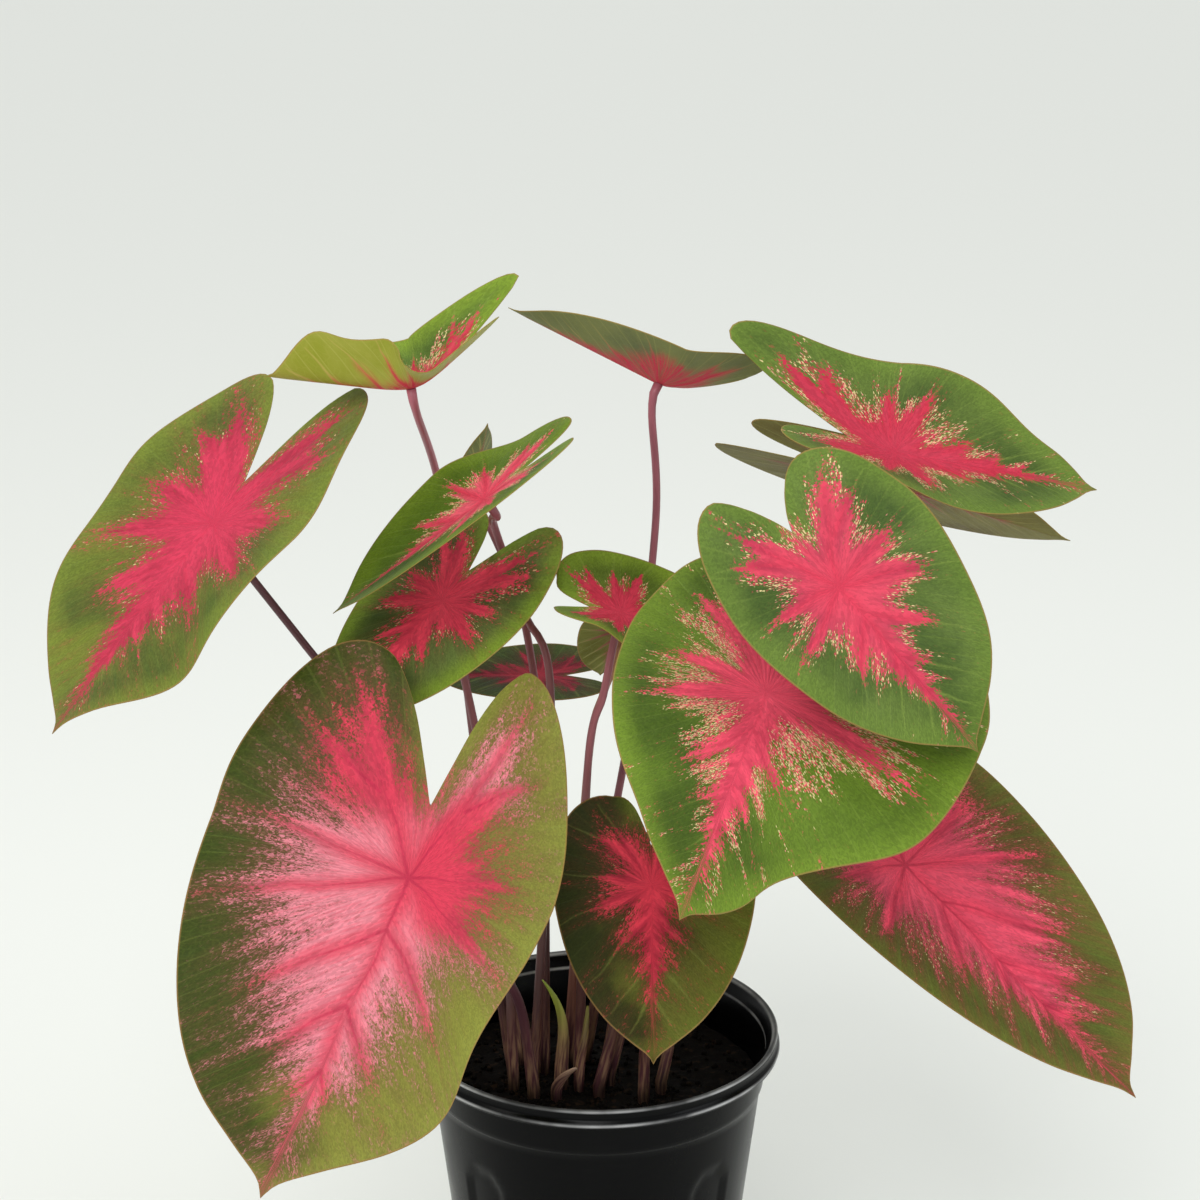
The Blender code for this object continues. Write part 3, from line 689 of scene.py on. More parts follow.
def addBlade(name, leaf, materials):
    rays, parts = leafGrid(leaf)
    outline = leafOutline(leaf, rays)
    plain = leafOutline(plainLeaf, rays)
    length = leaf["length"]
    flat = np.vstack([[(0, 0)]] + [outline * part for part in parts])
    place = np.vstack([[(0, 0)]] + [plain * part for part in parts])
    margin = np.min(np.hypot(
        flat[:, None, 0] - outline[None, :, 0], flat[:, None, 1] - outline[None, :, 1],
    ), axis=1) * length
    middle = leafSurface(leaf, flat)
    nudge = 0.003
    sideways = leafSurface(leaf, flat + [nudge, 0]) - leafSurface(leaf, flat - [nudge, 0])
    ahead = leafSurface(leaf, flat + [0, nudge]) - leafSurface(leaf, flat - [0, nudge])
    normal = np.cross(sideways, ahead)
    normal /= np.linalg.norm(normal, axis=1)[:, None]
    inward = smoothStep(margin / 0.006)
    size = length / 0.12
    rib, groove = np.zeros(len(flat)), np.zeros(len(flat))
    for i, (away, share) in enumerate(veinDistances(place)):
        strength = (1 if i == 0 else 0.62 if i < 4 else 0.42) * (1 - 0.8 * share)
        breadth = (0.0011 + 0.0012 * (1 - share) * (1 if i < 4 else 0.5)) * size
        fall = np.exp(-(away * length / breadth) ** 2)
        rib = np.maximum(rib, strength * fall)
        wide = np.exp(-(away * length / (2.6 * breadth)) ** 2)
        groove = np.maximum(groove, strength ** 0.5 * (0.6 * fall + 0.4 * wide))
    lane, far = streakPlace(place)
    quilt = 0.5 - 0.5 * np.cos(2 * math.pi * lane * length / veinNet["spacing"])
    quilt = quilt ** 0.6 * smoothStep(far / 0.15)
    half = (veinNet["edge"] + (veinNet["blade"] - veinNet["edge"]) * inward) / 2
    puff = veinNet["puff"] * size * quilt * inward
    centre = smoothStep(np.hypot(place[:, 0], place[:, 1]) * length / 0.006)
    groove = groove * (0.25 + 0.75 * centre)
    top = half + puff - veinNet["groove"] * size * groove * inward
    under = half - puff * 0.8 + veinNet["rib"] * size * rib * inward
    points = np.vstack([middle + normal * top[:, None], middle - normal * under[:, None]])
    lower, count = len(middle), len(outline)
    upperFaces = []
    for i in range(count):
        j = (i + 1) % count
        upperFaces.append((0, 1 + j, 1 + i))
        for ring in range(len(parts) - 1):
            a, b = 1 + ring * count + i, 1 + ring * count + j
            upperFaces.append((a, b, b + count, a + count))
    faces = upperFaces + [tuple(v + lower for v in reversed(face)) for face in upperFaces]
    edge = range(lower - count, lower)
    faces += between(edge, range(2 * lower - count, 2 * lower))
    blade = addPiece("leaf_" + name, points, faces, materials, "blade_" + name)
    slots = [0] * len(upperFaces) + [1] * len(upperFaces) + [0] * count
    blade.data.polygons.foreach_set("material_index", slots)
    side = np.sign(place[:, 0]) * 0.3
    for key, columns in (
        ("veinPlace", (place[:, 0], place[:, 1], margin)),
        ("streak", (lane * length, far * length, side)),
    ):
        markPoints(blade, key, np.vstack([np.column_stack(columns)] * 2))
    return blade


# Leaf finish: living leaf tissue under a thin waxy skin, which gives a satin gloss; the colour
# is a red or pink star on the veins, broken up at its edge into cells less than 1 mm across.
#   width, reach, blob   how broad and long the arms of the star are, and its middle
#   gap       green left at the margin, in metres, and soft the fading of the edge
#   streaks   raggedness of the edge, hairShare the part of it that is fine
#   mosaic, melt, cell   share of single cells in the edge, their fading and their size
#   shaded half   painted shade, how much darker the green is on the half turned from the light; redSpots (place, radius) aren't pink
#   dusk      dull red that shows through the green beside the star
#   the names with Share say how strong a colour is
plainFinish = dict(
    green="#5a7228", greenDark="#465c1e", rim="#7e982a", rimWidth=0.008, edgeLine="#a07a48",
    red="#d83a54", redDeep="#b82a40", pink="#e67c8c", pinkShare=0.0, vein="#c82844",
    veinShare=0.2, cream="#dcc890", palePink="#dc8c84", creamShare=0.5, sideVein="#8ca048",
    sideShare=0.1, width=1.4, reach=1.05, blob=0.17, gap=0.2, soft=0.1, streaks=0.2,
    hairShare=0.5, mosaic=0.75, melt=0.3, cell=0.0006, paintedShadeHalf=0, redSpots=(),
    dusk="#5c3024", duskShare=0.0,
    under="#76843a", underRed="#a04450", underShare=0.5, underVein="#a0a45c",
)
leafFinish = {
    "left": dict(
        green="#6b7728", greenDark="#465620", red="#c63652", redDeep="#a82a42", width=2.0,
        blob=0.24, creamShare=0.15, soft=0.16, rim="#6e7c2c", duskShare=0.4, dusk="#74502e",
        reach=1.12,
    ),
    # the underside is painted lighter and yellower than its own colour: painted light shining
    # through the blade from behind
    "top_left": dict(
        green="#56702a", under="#949c34", underRed="#cc2848", underShare=1.0, underVein="#c0bc64",
        red="#c84c58", creamShare=1.0, width=1.0, mosaic=0.95,
    ),
    "top": dict(
        green="#5c6a34", under="#66704a", underRed="#cc3650", underShare=1.0, width=2.2, blob=0.34,
    ),
    "top_right": dict(
        green="#566a2c", greenDark="#3c501e", red="#b8344a", creamShare=0.7, width=1.7, blob=0.2,
        soft=0.14, rim="#627a2c",
    ),
    "upper_right_back": dict(green="#586834", under="#685f36", creamShare=0.3),
    "right": dict(
        green="#5a6e2e", greenDark="#3d521e", rim="#5e762a", creamShare=0.6, red="#ca3850",
        redDeep="#ac2c46", width=1.55, blob=0.24, soft=0.13, reach=1.08, pinkShare=0.1,
    ),
    "right_front": dict(
        green="#5a7320", greenDark="#3f5416", rim="#6c8628", creamShare=1.0, red="#e44c64",
        redDeep="#c03a50", soft=0.16, streaks=0.22, cell=0.0007,
    ),
    "centre": dict(green="#5d7026", greenDark="#4c5f1a", creamShare=0.5, red="#cc3a50"),
    "left_middle": dict(
        green="#506814", greenDark="#405610", rim="#6a8218", creamShare=0.95, width=1.15,
        pink="#e4848c", pinkShare=0.3, under="#868a52",
    ),
    "left_lower": dict(
        green="#5c6c34", greenDark="#3e4f1c", red="#e84058", redDeep="#c02e46", creamShare=0.25,
        width=1.5, blob=0.2, duskShare=0.4, soft=0.14,
    ),
    "front_large": dict(
        green="#7a7c30", greenDark="#34400c", rim="#7e8234", rimWidth=0.006, red="#cc3850",
        redDeep="#a83044", pink="#d88490", pinkShare=0.9, vein="#a81c40", veinShare=0.55,
        creamShare=0.04, width=1.75, reach=1.15, blob=0.28, gap=0.034, soft=0.22, hairShare=0.35,
        mosaic=0.65, melt=0.5, cell=0.00055, paintedShadeHalf=1.1, duskShare=0.6, dusk="#63402c",
        redSpots=(((-0.2, -0.04), 0.34), ((0.16, -0.34), 0.32)),
    ),
    "front_small": dict(
        green="#5c6022", greenDark="#2c320c", rim="#606c22", red="#dc3c50", redDeep="#a02438",
        width=1.35, reach=0.88, creamShare=0.05, soft=0.2, streaks=0.1, sideShare=0.03,
        mosaic=0.65, melt=0.4, paintedShadeHalf=0.9, duskShare=0.55, dusk="#582c20",
    ),
    "right_low": dict(
        green="#5a6826", greenDark="#445018", rim="#626a26", red="#ec4660", redDeep="#b02c44",
        pink="#e07088", pinkShare=0.25, vein="#9c1634", veinShare=0.45, width=1.45, reach=1.08,
        blob=0.25, gap=0.026, soft=0.16, hairShare=0.3, creamShare=0.15, mosaic=0.6, melt=0.5,
        duskShare=0.7, dusk="#6c3428",
    ),
    # painted shade: this leaf's colours are all darker, as it lies in shade under the leaves above
    "back_low": dict(
        green="#3a4a1a", greenDark="#263414", rim="#42521e", red="#a02a3a", redDeep="#681622",
        creamShare=0.0, width=1.6, duskShare=0.5,
    ),
    "back_young": dict(green="#54642c", under="#505c36", creamShare=0.2),
    "centre_hanging": dict(green="#5e682c", under="#686828", creamShare=0.2),
}


def veinGroup():
    # from a place on the plain leaf: the depth into the star, and the distance to a vein line
    group = bpy.data.node_groups.new("veinStar", "ShaderNodeTree")
    add = partial(addNode, group)
    for name in ("Place", "Body", "Width", "Reach", "Blob", "Star", "Line"):
        group.interface.new_socket(
            name, in_out="OUTPUT" if name in ("Star", "Line") else "INPUT",
            socket_type="NodeSocketVector" if name == "Place" else "NodeSocketFloat",
        )
    given = add("NodeGroupInput")
    parts = add("SeparateXYZ", [given["Place"]])
    across = add("Math", [parts["X"]], operation="ABSOLUTE")[0]
    square = add("Math", (across, across), **multiply)[0]
    bowed = add("Math", (square, -veinNet["bow"], parts["Y"]), **multiplyAdd)[0]
    point = add("CombineXYZ", (across, bowed))[0]
    radius = add("VectorMath", [point], operation="LENGTH")["Value"]
    star = add("Math", (given["Blob"], radius), **subtract)[0]
    star = add("Math", (star, given["Body"], veinNet["mergeBody"]), operation="SMOOTH_MAX")[0]
    line = None
    for start, end, width, share in veinNet["veins"]:
        way = Vector((*end, 0)) - Vector((*start, 0))
        offset = add("VectorMath", (point, (*start, 0)), **subtract)[0]
        part = add("VectorMath", (offset, way / way.length_squared), operation="DOT_PRODUCT")
        part = add("Clamp", [part["Value"]])[0]
        foot = add("VectorMath", {0: way, "Scale": part}, **scaled)[0]
        away = add("VectorMath", (offset, foot), operation="DISTANCE")["Value"]
        reach = add("Math", (given["Reach"], share), **multiply)[0]
        left = add("Math", (part, reach), operation="DIVIDE")[0]
        left = add("Math", (1.0, left), use_clamp=True, **subtract)[0]
        left = add("Math", (left, veinNet["taper"]), operation="POWER")[0]
        broad = add("Math", (given["Width"], width), **multiply)[0]
        arm = add("Math", (broad, left), **multiply)[0]
        arm = add("Math", (arm, away), **subtract)[0]
        ended = add("MapRange", (left, 0.25, 0.0, 0.0, veinNet["armEnd"]))[0]
        arm = add("Math", (arm, ended), **subtract)[0]
        star = add("Math", (star, arm, veinNet["merge"]), operation="SMOOTH_MAX")[0]
        thin = add("Math", (part, veinNet["thinning"], away), **multiplyAdd)[0]
        line = add("Math", (line, thin), operation="MINIMUM")[0] if line else thin
    add("NodeGroupOutput", {"Star": star, "Line": line})
    return group


# patterns of the leaf tissue in cells per metre: across the side veins, along them, and from
# one half of the leaf to the other
tissue = dict(
    hairs=(1 / 0.0016, 1 / 0.011, 3), flames=(1 / 0.007, 1 / 0.03, 3), net=(330, 240, 50),
    flecks=(1 / 0.0005, 1 / 0.0013, 50), cells=(1, 0.75, 50),     # cells: times 1 / cell
    wander=(0.07, 0.09, 0), wanderScale=3.2, cloudScale=2.6,      # on the plain leaf
    veinLine=(0.0003, 0.0013, 0.0016), edgeLine=(0.0009, 0.0002),     # widths in metres
)


def leafMaterial(name, finish, length, veins, seed, underside):
    # both faces share the star and the fine veins; the underside shows them dimly
    material, add = startMaterial(name, Roughness=0.5, IOR=1.42, Specular_IOR_Level=0.2)
    tint = {key: linearOf(value) for key, value in finish.items() if isinstance(value, str)}
    spot = add("Attribute", attribute_name="veinPlace")["Vector"]
    streak = add("Attribute", attribute_name="streak")["Vector"]
    margin = add("SeparateXYZ", [spot])["Z"]
    place = add("VectorMath", (spot, (1, 1, 0)), **multiply)[0]
    moved = add("VectorMath", (streak, (seed * 0.37, seed * 0.53, 0)), operation="ADD")[0]
    # the outline of the star wanders a little
    wander = add("TexNoise", {
        "Vector": place, "Scale": tissue["wanderScale"], "W": seed * 1.7,
    }, **in4D)["Color"]
    shift = add("VectorMath", (wander, (0.5, 0.5, 0.5)), **subtract)[0]
    bent = add("VectorMath", (shift, tissue["wander"], place), **multiplyAdd)[0]
    body = 0.6 / length
    body = add("Math", (margin, body, -body * finish["gap"]), **multiplyAdd)[0]
    field = add("Group", {
        "Place": bent, "Body": body, "Width": finish["width"], "Reach": finish["reach"],
        "Blob": finish["blob"],
    }, node_tree=veins)

    # fine hairs and broader flames run out along the side veins
    noises = []
    for key, detail in (("hairs", 3.0), ("flames", 2.0)):
        fine = add("VectorMath", (moved, tissue[key]), **multiply)[0]
        noises.append(add("TexNoise", {"Vector": fine, "Scale": 1.0, "Detail": detail})["Fac"])
    hairs, flames = noises
    ragged = add("Math", (hairs, finish["hairShare"], flames), **multiplyAdd)[0]
    ragged = add("Math", (ragged, -0.5 - 0.5 * finish["hairShare"]), operation="ADD")[0]
    # the red is crisp along a vein and loose in the bays between veins
    bay = add("MapRange", (field["Line"], 0.01, 0.08), **smooth)[0]
    spread = add("Math", (bay, 0.65, 0.35), **multiplyAdd)[0]
    ragged = add("Math", (ragged, spread), **multiply)[0]
    depth = add("Math", (ragged, finish["streaks"], field["Star"]), **multiplyAdd)[0]
    depth = add("Math", (depth, spread), operation="DIVIDE")[0]

    # cells between the finest veins, with crooked sides
    width, height, layer = tissue["cells"]
    cellScale = (width / finish["cell"], height / finish["cell"], layer)
    cellPlace = add("VectorMath", (moved, cellScale), **multiply)[0]
    crooked = add("TexNoise", {"Vector": cellPlace, "Scale": 0.7, "Detail": 2.0})["Color"]
    cellPlace = add("VectorMath", (crooked, (2.4, 2.4, 0), cellPlace), **multiplyAdd)[0]
    cells = add("TexVoronoi", {"Vector": cellPlace, "Scale": 1.0})["Color"]
    dice = add("SeparateColor", [cells])

    # faint side veins and the net between them
    lane = add("SeparateXYZ", [streak])["X"]
    wave = add("Math", (lane, 2 * math.pi / veinNet["spacing"]), **multiply)[0]
    wave = add("Math", [wave], operation="COSINE")[0]
    netPlace = add("VectorMath", (moved, tissue["net"]), **multiply)[0]
    net = add("TexVoronoi", {"Vector": netPlace, "Scale": 1.0}, feature="DISTANCE_TO_EDGE")[0]
    lines = ((wave, 0.93, 1.0), (net, 0.10, 0.02, 0.0, 0.35))
    veinLook = add("Math", lines, operation="MAXIMUM")[0]
    # the width of a vein line follows the blade's real size
    thin, broad, faint = (size / length for size in tissue["veinLine"])
    line = (field["Line"], broad, thin)
    cloud = add("TexNoise", {
        "Vector": place, "Scale": tissue["cloudScale"], "Detail": 3.0, "W": seed * 2.3,
    }, **in4D)["Fac"]

    if underside:
        warm = (depth, -0.05, 0.16, 0.0, finish["underShare"])
        warm = add("Math", (warm, (hairs, 0.3, 0.6, 0.45, 1.0)), **multiply)[0]
        ribTone = layColours(
            add, tint["underVein"], ((field["Star"], -0.06, 0.06), tint["underRed"]))
        colour = layColours(
            add, tint["under"],
            ((cloud, 0.3, 0.7), tint["underVein"]),
            ((cloud, 0.2, 0.8, 0.25, 0.75), tint["under"]),
            (warm, tint["underRed"]),
            ((veinLook, 0.0, 1.0, 0.0, 0.3), tint["underVein"]),
            (add("Math", (line, 0.8), **multiply)[0], ribTone),
        )
    else:
        # green ground with a lighter rim; close to the star red shows dully through it
        across = add("SeparateXYZ", [place])["X"]
        # painted shade: the green darkens across the half of the leaf turned from the light, and
        # on that half the lighter rim fades out
        tone = add("Math", (across, -finish["paintedShadeHalf"], cloud), **multiplyAdd)[0]
        rimward = add("Math", (cloud, -0.012, margin), **multiplyAdd)[0]
        rim = (rimward, finish["rimWidth"], -0.006, 0.0, 0.75)
        if finish["paintedShadeHalf"]:
            rim = add("Math", (rim, (tone, 0.35, 0.6)), **multiply)[0]
        ground = layColours(
            add, tint["greenDark"],
            ((tone, 0.35, 0.65), tint["green"]),
            (rim, tint["rim"]),
            (add("Math", (veinLook, finish["sideShare"]), **multiply)[0], tint["sideVein"]),
            ((field["Line"], faint, thin, 0.0, 0.3), tint["sideVein"]),
            ((depth, -0.16, 0.02, 0.0, finish["duskShare"]), tint["dusk"]),
        )
        # the red is paler between the veins, but not in the red spots
        fromSpot = 1.0
        for middle, size in finish["redSpots"]:
            far = add("VectorMath", (bent, (*middle, 0)), operation="DISTANCE")["Value"]
            fromSpot = add("Math", (fromSpot, (far, size / 3, size)), **multiply)[0]
        pale = finish["pinkShare"]
        pink = (field["Line"], 0.005, 0.05, 0.25 * pale, pale)
        for limits in ((fromSpot, 0.0, 1.0), (hairs, 0.3, 0.6, 0.6, 1.0)):
            pink = add("Math", (pink, add("MapRange", limits, **smooth)[0]), **multiply)[0]
        red = layColours(
            add, tint["redDeep"],
            ((flames, 0.35, 0.7), tint["red"]),
            ((field["Star"], 0.02, 0.16), tint["red"]),
            (pink, tint["pink"]),
            (add("Math", (line, finish["veinShare"]), **multiply)[0], tint["vein"]),
        )
        # clumps of cells join the star together; every cell is a little lighter or darker
        clumps = add("TexVoronoi", {"Vector": cellPlace, "Scale": 0.42})["Color"]
        clump = add("SeparateColor", [clumps])
        grained = []
        for look, draw, most in ((ground, dice["Blue"], 1.12), (red, clump["Blue"], 1.1)):
            grain = (draw, 0.0, 1.0, 0.86, most)
            grained.append(add("VectorMath", {0: look, "Scale": grain}, **scaled)[0])
        density = add("MapRange", (depth, -finish["soft"], finish["soft"]), **smooth)[0]
        chance = add("Mix", {0: 0.3, 2: dice["Red"], 3: clump["Red"]})[0]
        chance = add("Math", (chance, -finish["mosaic"], density), **multiplyAdd)[0]
        # pale flecks along the side veins, at the edge of the star
        inner = (density, 0.95, 0.5, 0.0, finish["creamShare"])
        fringe = add("Math", ((density, 0.1, 0.4), inner), **multiply)[0]
        fringe = add("Math", (fringe, bay), **multiply)[0]
        fleckPlace = add("VectorMath", (moved, tissue["flecks"]), **multiply)[0]
        fleckPlace = add("VectorMath", (crooked, (1.6, 0.9, 0), fleckPlace), **multiplyAdd)[0]
        flecks = add("TexVoronoi", {"Vector": fleckPlace, "Scale": 1.0})
        fleckDice = add("SeparateColor", [flecks["Color"]])
        fleck = add("Math", (fleckDice["Green"], fringe), operation="ADD")[0]
        kernel = (flecks["Distance"], 0.65, 0.4)
        fleck = add("Math", ((fleck, 1.0, 1.1, 0.0, 0.9), kernel), **multiply)[0]
        paleCell = layColours(
            add, tint["cream"], ((fleckDice["Blue"], 0.45, 0.55), tint["palePink"]),
            ((fleckDice["Blue"], 0.8, 0.85), tint["red"]),
        )
        colour = layColours(
            add, grained[0], ((chance, 0.0, finish["melt"]), grained[1]), (fleck, paleCell))
    colour = layColours(
        add, colour, ((margin, *tissue["edgeLine"], 0.0, 0.6), tint["edgeLine"]))

    lift = add("Math", (veinLook, -0.6, dice["Blue"]), **multiplyAdd)[0]
    relief = add("Bump", {"Height": lift, "Strength": 0.4, "Distance": 0.00025})["Normal"]
    rough = add("MapRange", (hairs, 0.3, 0.7, 0.44, 0.58), **smooth)[0]
    return feedShader(material, Base_Color=colour, Roughness=rough, Normal=relief)


veins = veinGroup()
blades = {}
for number, (name, leaf) in enumerate(leaves.items()):
    finish = {**plainFinish, **leafFinish[name]}
    both = [
        leafMaterial("leaf tissue " + side + " " + name.replace("_", " "), finish,
                     leaf["length"], veins, number + 1, side == "under")
        for side in ("upper", "under")
    ]
    blades[name] = addBlade(name, leaf, both)
print("blades made", sum(len(b.data.polygons) for b in blades.values()), "faces")


# Stalks: fleshy leaf stalks, mauve to purple brown with a waxy skin; their feet widen into
# tan sheaths with a groove, papery and streaked
stalk = dict(
    top=0.0017, foot=0.0026, fade=0.05, straight=0.006, sides=16, points=64,
    sheathHeight=0.045, sheathSwell=0.12, grooveDepth=0.22, flare=1.25,
    clearance=0.0003, riseShare=0.4, arriveShare=0.3, lastStraight=0.012,
    low="#b48c70", sheathStreak="#603840", middle="#5e3836", high="#94545c",
    # streak sizes, then how high the painted shade at the foot of the stalk reaches
    streakWidth=0.0006, streakLength=0.012, footShadeHeight=0.016,
)
stalkTones = {
    "left": ("#4a2a30", "#5d333a"), "top": ("#7c4a52", "#a05a66"),
    "top_left": ("#7a4a4e", "#a8606c"), "front_large": ("#553038", "#7a4048"),
    "front_small": ("#6a4038", "#8a5050"), "centre_hanging": ("#8a5648", "#b07860"),
}
tuberCrown = {"large": (-0.018, -0.006, 0.0285, 0.028), "small": (0.026, -0.023, 0.0115, 0.018)}


def stalkStart(foot):
    # just above the crown of the tuber that the foot stands on
    nearest = min(tuberCrown.values(), key=lambda t: math.dist(t[:2], foot) / t[2])
    away = max(0.0, math.dist(nearest[:2], foot) - 0.003)
    return 0.118 - 0.25 * nearest[3] * (away / nearest[2]) ** 2 + stalk["clearance"]


def stalkPath(leaf):
    up = np.array([0, 0, 1.0])
    foot = np.array([*leaf["foot"], 0.0])
    start = foot + up * stalkStart(leaf["foot"])
    leave = foot + up * (soil["top"] + stalk["straight"])
    joint = np.array(leaf["joint"])
    normal = leafFrame(leaf)[:, 2]
    last = np.array(leaf["via"][-1]) if leaf["via"] else leave
    way = (joint - last) / np.linalg.norm(joint - last)
    arrive = 0.5 * way + 0.5 * normal
    arrive /= np.linalg.norm(arrive)
    end = joint - normal * 0.0006
    if leaf["via"]:
        bends = [np.array(p) for p in leaf["via"]] + [end - arrive * stalk["lastStraight"]]
    else:
        span = np.linalg.norm(end - leave)
        low = leave + up * span * stalk["riseShare"]
        high = end - arrive * span * stalk["arriveShare"]
        bends = []
        for t in (0.25, 0.5, 0.75, 0.92):
            s = 1 - t
            rising = s ** 3 * leave + 3 * s * s * t * low
            bends.append(rising + 3 * s * t * t * high + t ** 3 * end)
    return np.vstack([
        [start], smoothLine([leave] + bends + [end], stalk["points"]),
    ]), normal


def stalkMaterial(name, middle, high, seed):
    material, add = startMaterial(name, Roughness=0.42, IOR=1.42)
    spot = add("Attribute", attribute_name="stalkPlace")["Vector"]
    parts = add("SeparateXYZ", [spot])
    # x is round the stalk in metres, y the height above the soil, z the share of the stalk
    scale = (0.5 / stalk["streakWidth"], 1 / stalk["streakLength"], 0)
    fine = add("VectorMath", (spot, scale), **multiply)[0]
    lines, spots = (
        add("TexNoise", {
            "Vector": fine, "Scale": size, "Detail": detail, "W": seed * start,
        }, **in4D)["Fac"]
        for size, detail, start in ((1.0, 3.0, 3.1), (0.35, 2.0, 1.3))
    )
    streaks = add("MapRange", (lines, 0.42, 0.62))[0]
    sheath = layColours(
        add, linearOf(stalk["sheathStreak"]), (streaks, linearOf(stalk["low"])))
    ragged = add("Math", (lines, 0.03, parts["Y"]), **multiplyAdd)[0]
    colour = layColours(
        add, linearOf(middle), ((parts["Z"], 0.25, 0.95), linearOf(high)),
        ((ragged, stalk["sheathHeight"] + 0.02, 0.02), sheath),
    )
    shade = add("MapRange", (spots, 0.35, 0.65, 0.72, 1.12))[0]
    # painted shade at the foot, where the stalk meets the soil: darker in uneven patches, up to
    # about 2 cm above the soil
    unshaded = add("Math", (spots, 0.012, parts["Y"]), **multiplyAdd)[0]
    for share in (shade, (unshaded, 0.008, stalk["footShadeHeight"] + 0.006, 0.16, 1.0)):
        colour = add("VectorMath", {0: colour, "Scale": share}, **scaled)[0]
    relief = add("Bump", {"Height": lines, "Strength": 0.5, "Distance": 0.00025})["Normal"]
    return feedShader(material, Base_Color=colour, Normal=relief)


def sweptTube(path, radii, section, endNormal=None):
    # rings along a path with steady frames; section gives each ring's shape
    sides = stalk["sides"]
    tangents = np.gradient(path, axis=0)
    tangents /= np.linalg.norm(tangents, axis=1)[:, None]
    side = np.cross(tangents[0], [0.3, 1, 0.1])
    points, girth = [], []
    for i, (place, way, radius) in enumerate(zip(path, tangents, radii)):
        side = side - way * (side @ way)
        side /= np.linalg.norm(side)
        other = np.cross(way, side)
        share = i / (len(path) - 1)
        for k in range(sides):
            angle = 2 * math.pi * k / sides
            reach = radius * section(angle, place)
            offset = side * math.cos(angle) * reach + other * math.sin(angle) * reach
            if endNormal is not None:
                tilt = float(smoothStep((share - 0.93) / 0.07))
                offset = offset - way * (offset @ endNormal) / (way @ endNormal) * tilt
            points.append(place + offset)
            girth.append(angle * radius)
    rings = [range(start, start + sides) for start in range(0, len(points), sides)]
    faces = [face for low, high in zip(rings, rings[1:]) for face in between(low, high)]
    faces += [rings[0][::-1], rings[-1]]
    return np.array(points), faces, np.array(girth)


def addStalk(piece, skin, replaced, path, radii, section, share, endNormal=None):
    # the skin comes as name, two colours and seed
    points, faces, girth = sweptTube(path, radii, section, endNormal)
    stem = addPiece(piece, points, faces, [stalkMaterial(*skin)], replaced)
    rings = np.repeat(np.arange(len(path)), stalk["sides"])
    columns = (girth, (path[:, 2] - soil["top"])[rings], share[rings])
    markPoints(stem, "stalkPlace", np.column_stack(columns))


rng = np.random.default_rng(11)
for number, (name, leaf) in enumerate(leaves.items()):
    path, normal = stalkPath(leaf)
    height = np.maximum(0, path[:, 2] - soil["top"] - stalk["straight"])
    widening = np.exp(-height / stalk["fade"])
    radii = stalk["top"] + (stalk["foot"] - stalk["top"]) * widening
    low = np.exp(-(height / stalk["sheathHeight"]) ** 2)
    radii = radii * (1 + stalk["sheathSwell"] * low * rng.uniform(0.4, 1))
    share = np.linspace(0, 1, len(path))
    radii = radii * (1 + (stalk["flare"] - 1) * smoothStep((share - 0.96) / 0.04))
    facing = rng.uniform(0, 2 * math.pi)

    def section(angle, place, facing=facing):
        # a groove down one side of the sheath, which closes higher up
        lowPart = math.exp(-(max(0, place[2] - soil["top"]) / stalk["sheathHeight"]) ** 2)
        groove = stalk["grooveDepth"] * lowPart * max(0, math.cos(angle - facing)) ** 6
        return 1 - groove + 0.03 * math.cos(3 * angle)

    tones = stalkTones.get(name, (stalk["middle"], stalk["high"]))
    skin = ("stalk skin " + name.replace("_", " "), *tones, number + 1)
    addStalk("stalk_" + name, skin, "petiole_" + name, path, radii, section, share,
             normal)
print("stalks made")


# Young shoots: rolled spears, tan at the foot and yellow green to the point, and a dry stub
shoots = {
    "sprout_tall": dict(foot=(-0.016, -0.017), height=0.052, lean=(-0.008, -0.005),
                        radius=0.0030, low="#a58a5a", high="#9aa83c", bow=0.006),
    "sprout_short": dict(foot=(-0.008, -0.018), height=0.036, lean=(0.004, 0.006),
                         radius=0.0022, low="#8a6a45", high="#8f8a3a", bow=0.002),
    "dry_stub": dict(foot=(-0.018, -0.028), height=0.014, lean=(0.010, -0.003),
                     radius=0.0024, low="#9a7f62", high="#cdb9a0", bow=0.0),
}
for number, (name, shoot) in enumerate(shoots.items()):
    foot = shoot["foot"]
    base = np.array([*foot, stalkStart(foot)])
    leave = np.array([*foot, soil["top"] + stalk["straight"]])
    rows = []
    for t in np.linspace(0, 1, 28):
        sway = t * t
        rows.append(leave + [shoot["lean"][0] * sway + shoot["bow"] * math.sin(math.pi * t) * t,
                             shoot["lean"][1] * sway, shoot["height"] * t])
    path = np.vstack([[base], rows])
    rise = np.clip(path[:, 2] - leave[2], 0, None) / shoot["height"]
    radii = shoot["radius"] * (1 - rise ** 1.6) ** 0.8 + 0.0003

    def spear(angle, _):
        # flattened, with the overlap of the rolled blade as a low ridge
        fold = 0.12 * math.exp(-((angle - 4.2) / 0.25) ** 2)
        return (1 - 0.22 * abs(math.sin(angle))) * (1 + fold)

    skin = ("young shoot skin " + name.replace("_", " "), shoot["low"], shoot["high"], number + 31)
    addStalk("shoot_" + name, skin, name, path, radii, spear, rise)
print("shoots made")

addCrumbs(soilFinish, [leaf["foot"] for leaf in (*leaves.values(), *shoots.values())])


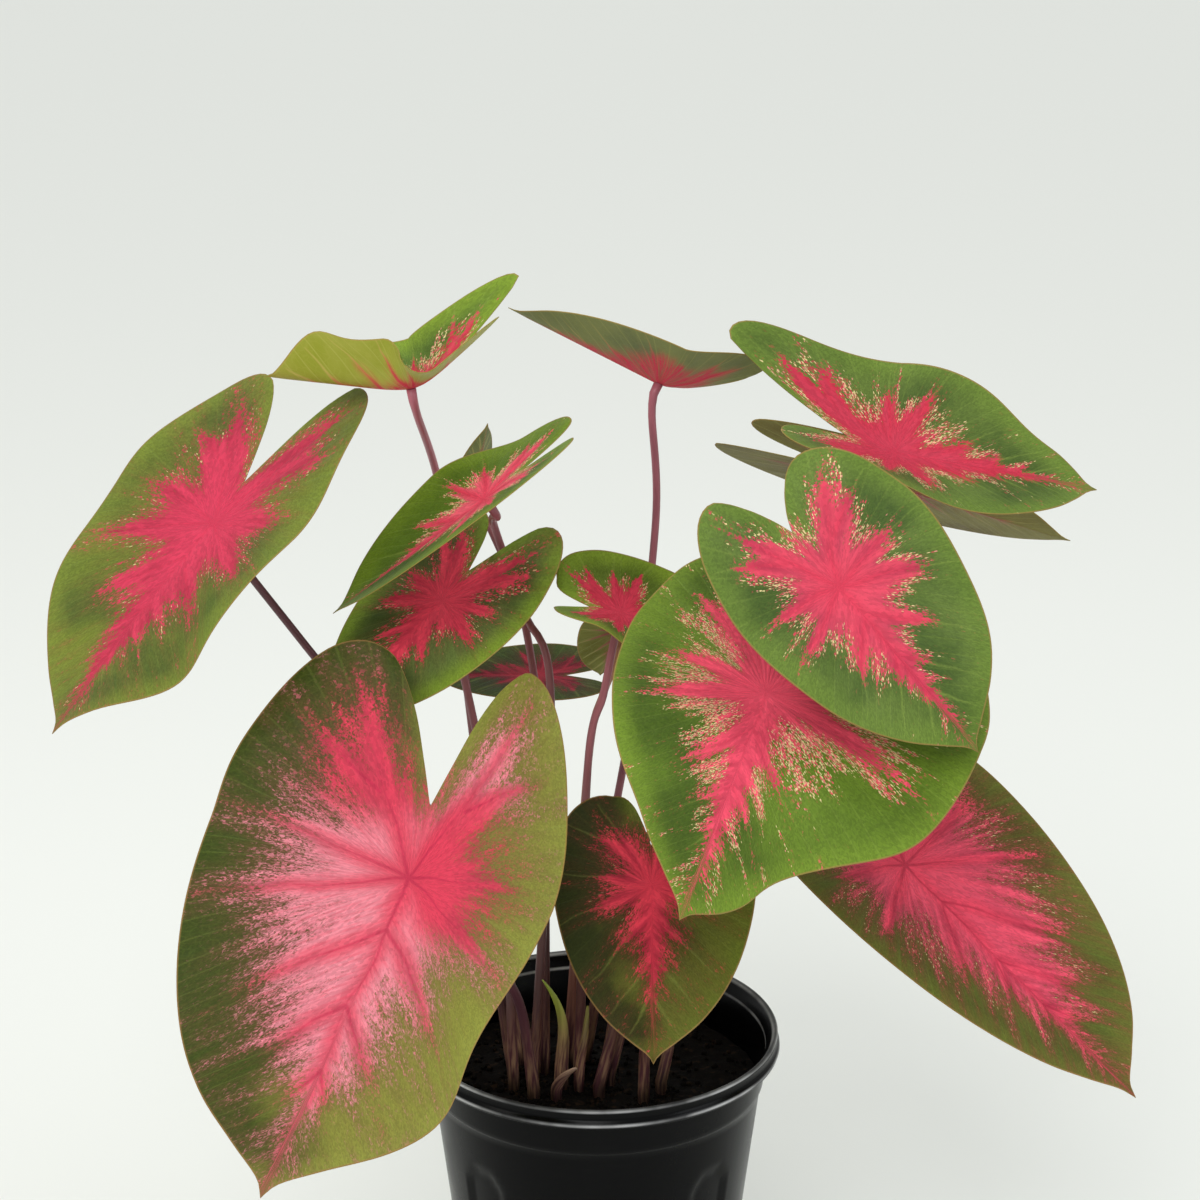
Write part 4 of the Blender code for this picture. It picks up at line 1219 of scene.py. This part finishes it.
# Floor and light: a plain pale floor under large soft lights
studio = dict(
    floor="#e9ebe7", floorSize=400, world="#f4f6f4", worldStrength=0.72, aim=(0, 0, 0.25),
    sun=dict(power=1.35, softness=35, turned=(48, -16, 0)),
    lights={
        "leftPanel": dict(place=(-1.3, -0.9, 1.5), size=1.1, power=7, colour="#fffaf2"),
        "rightPanel": dict(place=(1.5, -0.7, 0.9), size=0.9, power=5.2, colour="#f6f9ff"),
        "topPanel": dict(place=(0.0, 0.2, 1.7), size=0.25, power=4, colour="#ffffff"),
    },
)

half = studio["floorSize"] / 2
board, add = startMaterial("matt pale board", Roughness=0.9)
cloudy = add("TexNoise", {"Scale": 1.5, "Detail": 2.0})["Fac"]
shade = add("MapRange", (cloudy, 0.0, 1.0, 0.96, 1.0))[0]
boardColour = add("VectorMath", {0: linearOf(studio["floor"])[:3], "Scale": shade}, **scaled)[0]
corners = [(-half, -half, 0), (half, -half, 0), (half, half, 0), (-half, half, 0)]
floorMesh = makeMesh("floor", corners, [(0, 1, 2, 3)], [feedShader(board, Base_Color=boardColour)])
floorPiece = addObject("floor", floorMesh)

world = bpy.data.worlds.new("studio")
world.use_nodes = True
background = world.node_tree.nodes["Background"].inputs
background["Color"].default_value = linearOf(studio["world"])
background["Strength"].default_value = studio["worldStrength"]
bpy.context.scene.world = world
for name, light in studio["lights"].items():
    data = bpy.data.lights.new(name, "AREA")
    data.size = light["size"]
    data.energy = light["power"]
    data.color = linearOf(light["colour"])[:3]
    lamp = addObject(name, data)
    lamp.location = light["place"]
    aim = Vector(studio["aim"]) - Vector(light["place"])
    lamp.rotation_euler = aim.to_track_quat("-Z", "Y").to_euler()
sunData = bpy.data.lights.new("softSun", "SUN")
sunData.energy = studio["sun"]["power"]
sunData.angle = math.radians(studio["sun"]["softness"])
addObject("softSun", sunData).rotation_euler = [math.radians(a) for a in studio["sun"]["turned"]]
# plain colours, as a camera stores them
bpy.context.scene.view_settings.view_transform = "Standard"
print("floor and lights made")
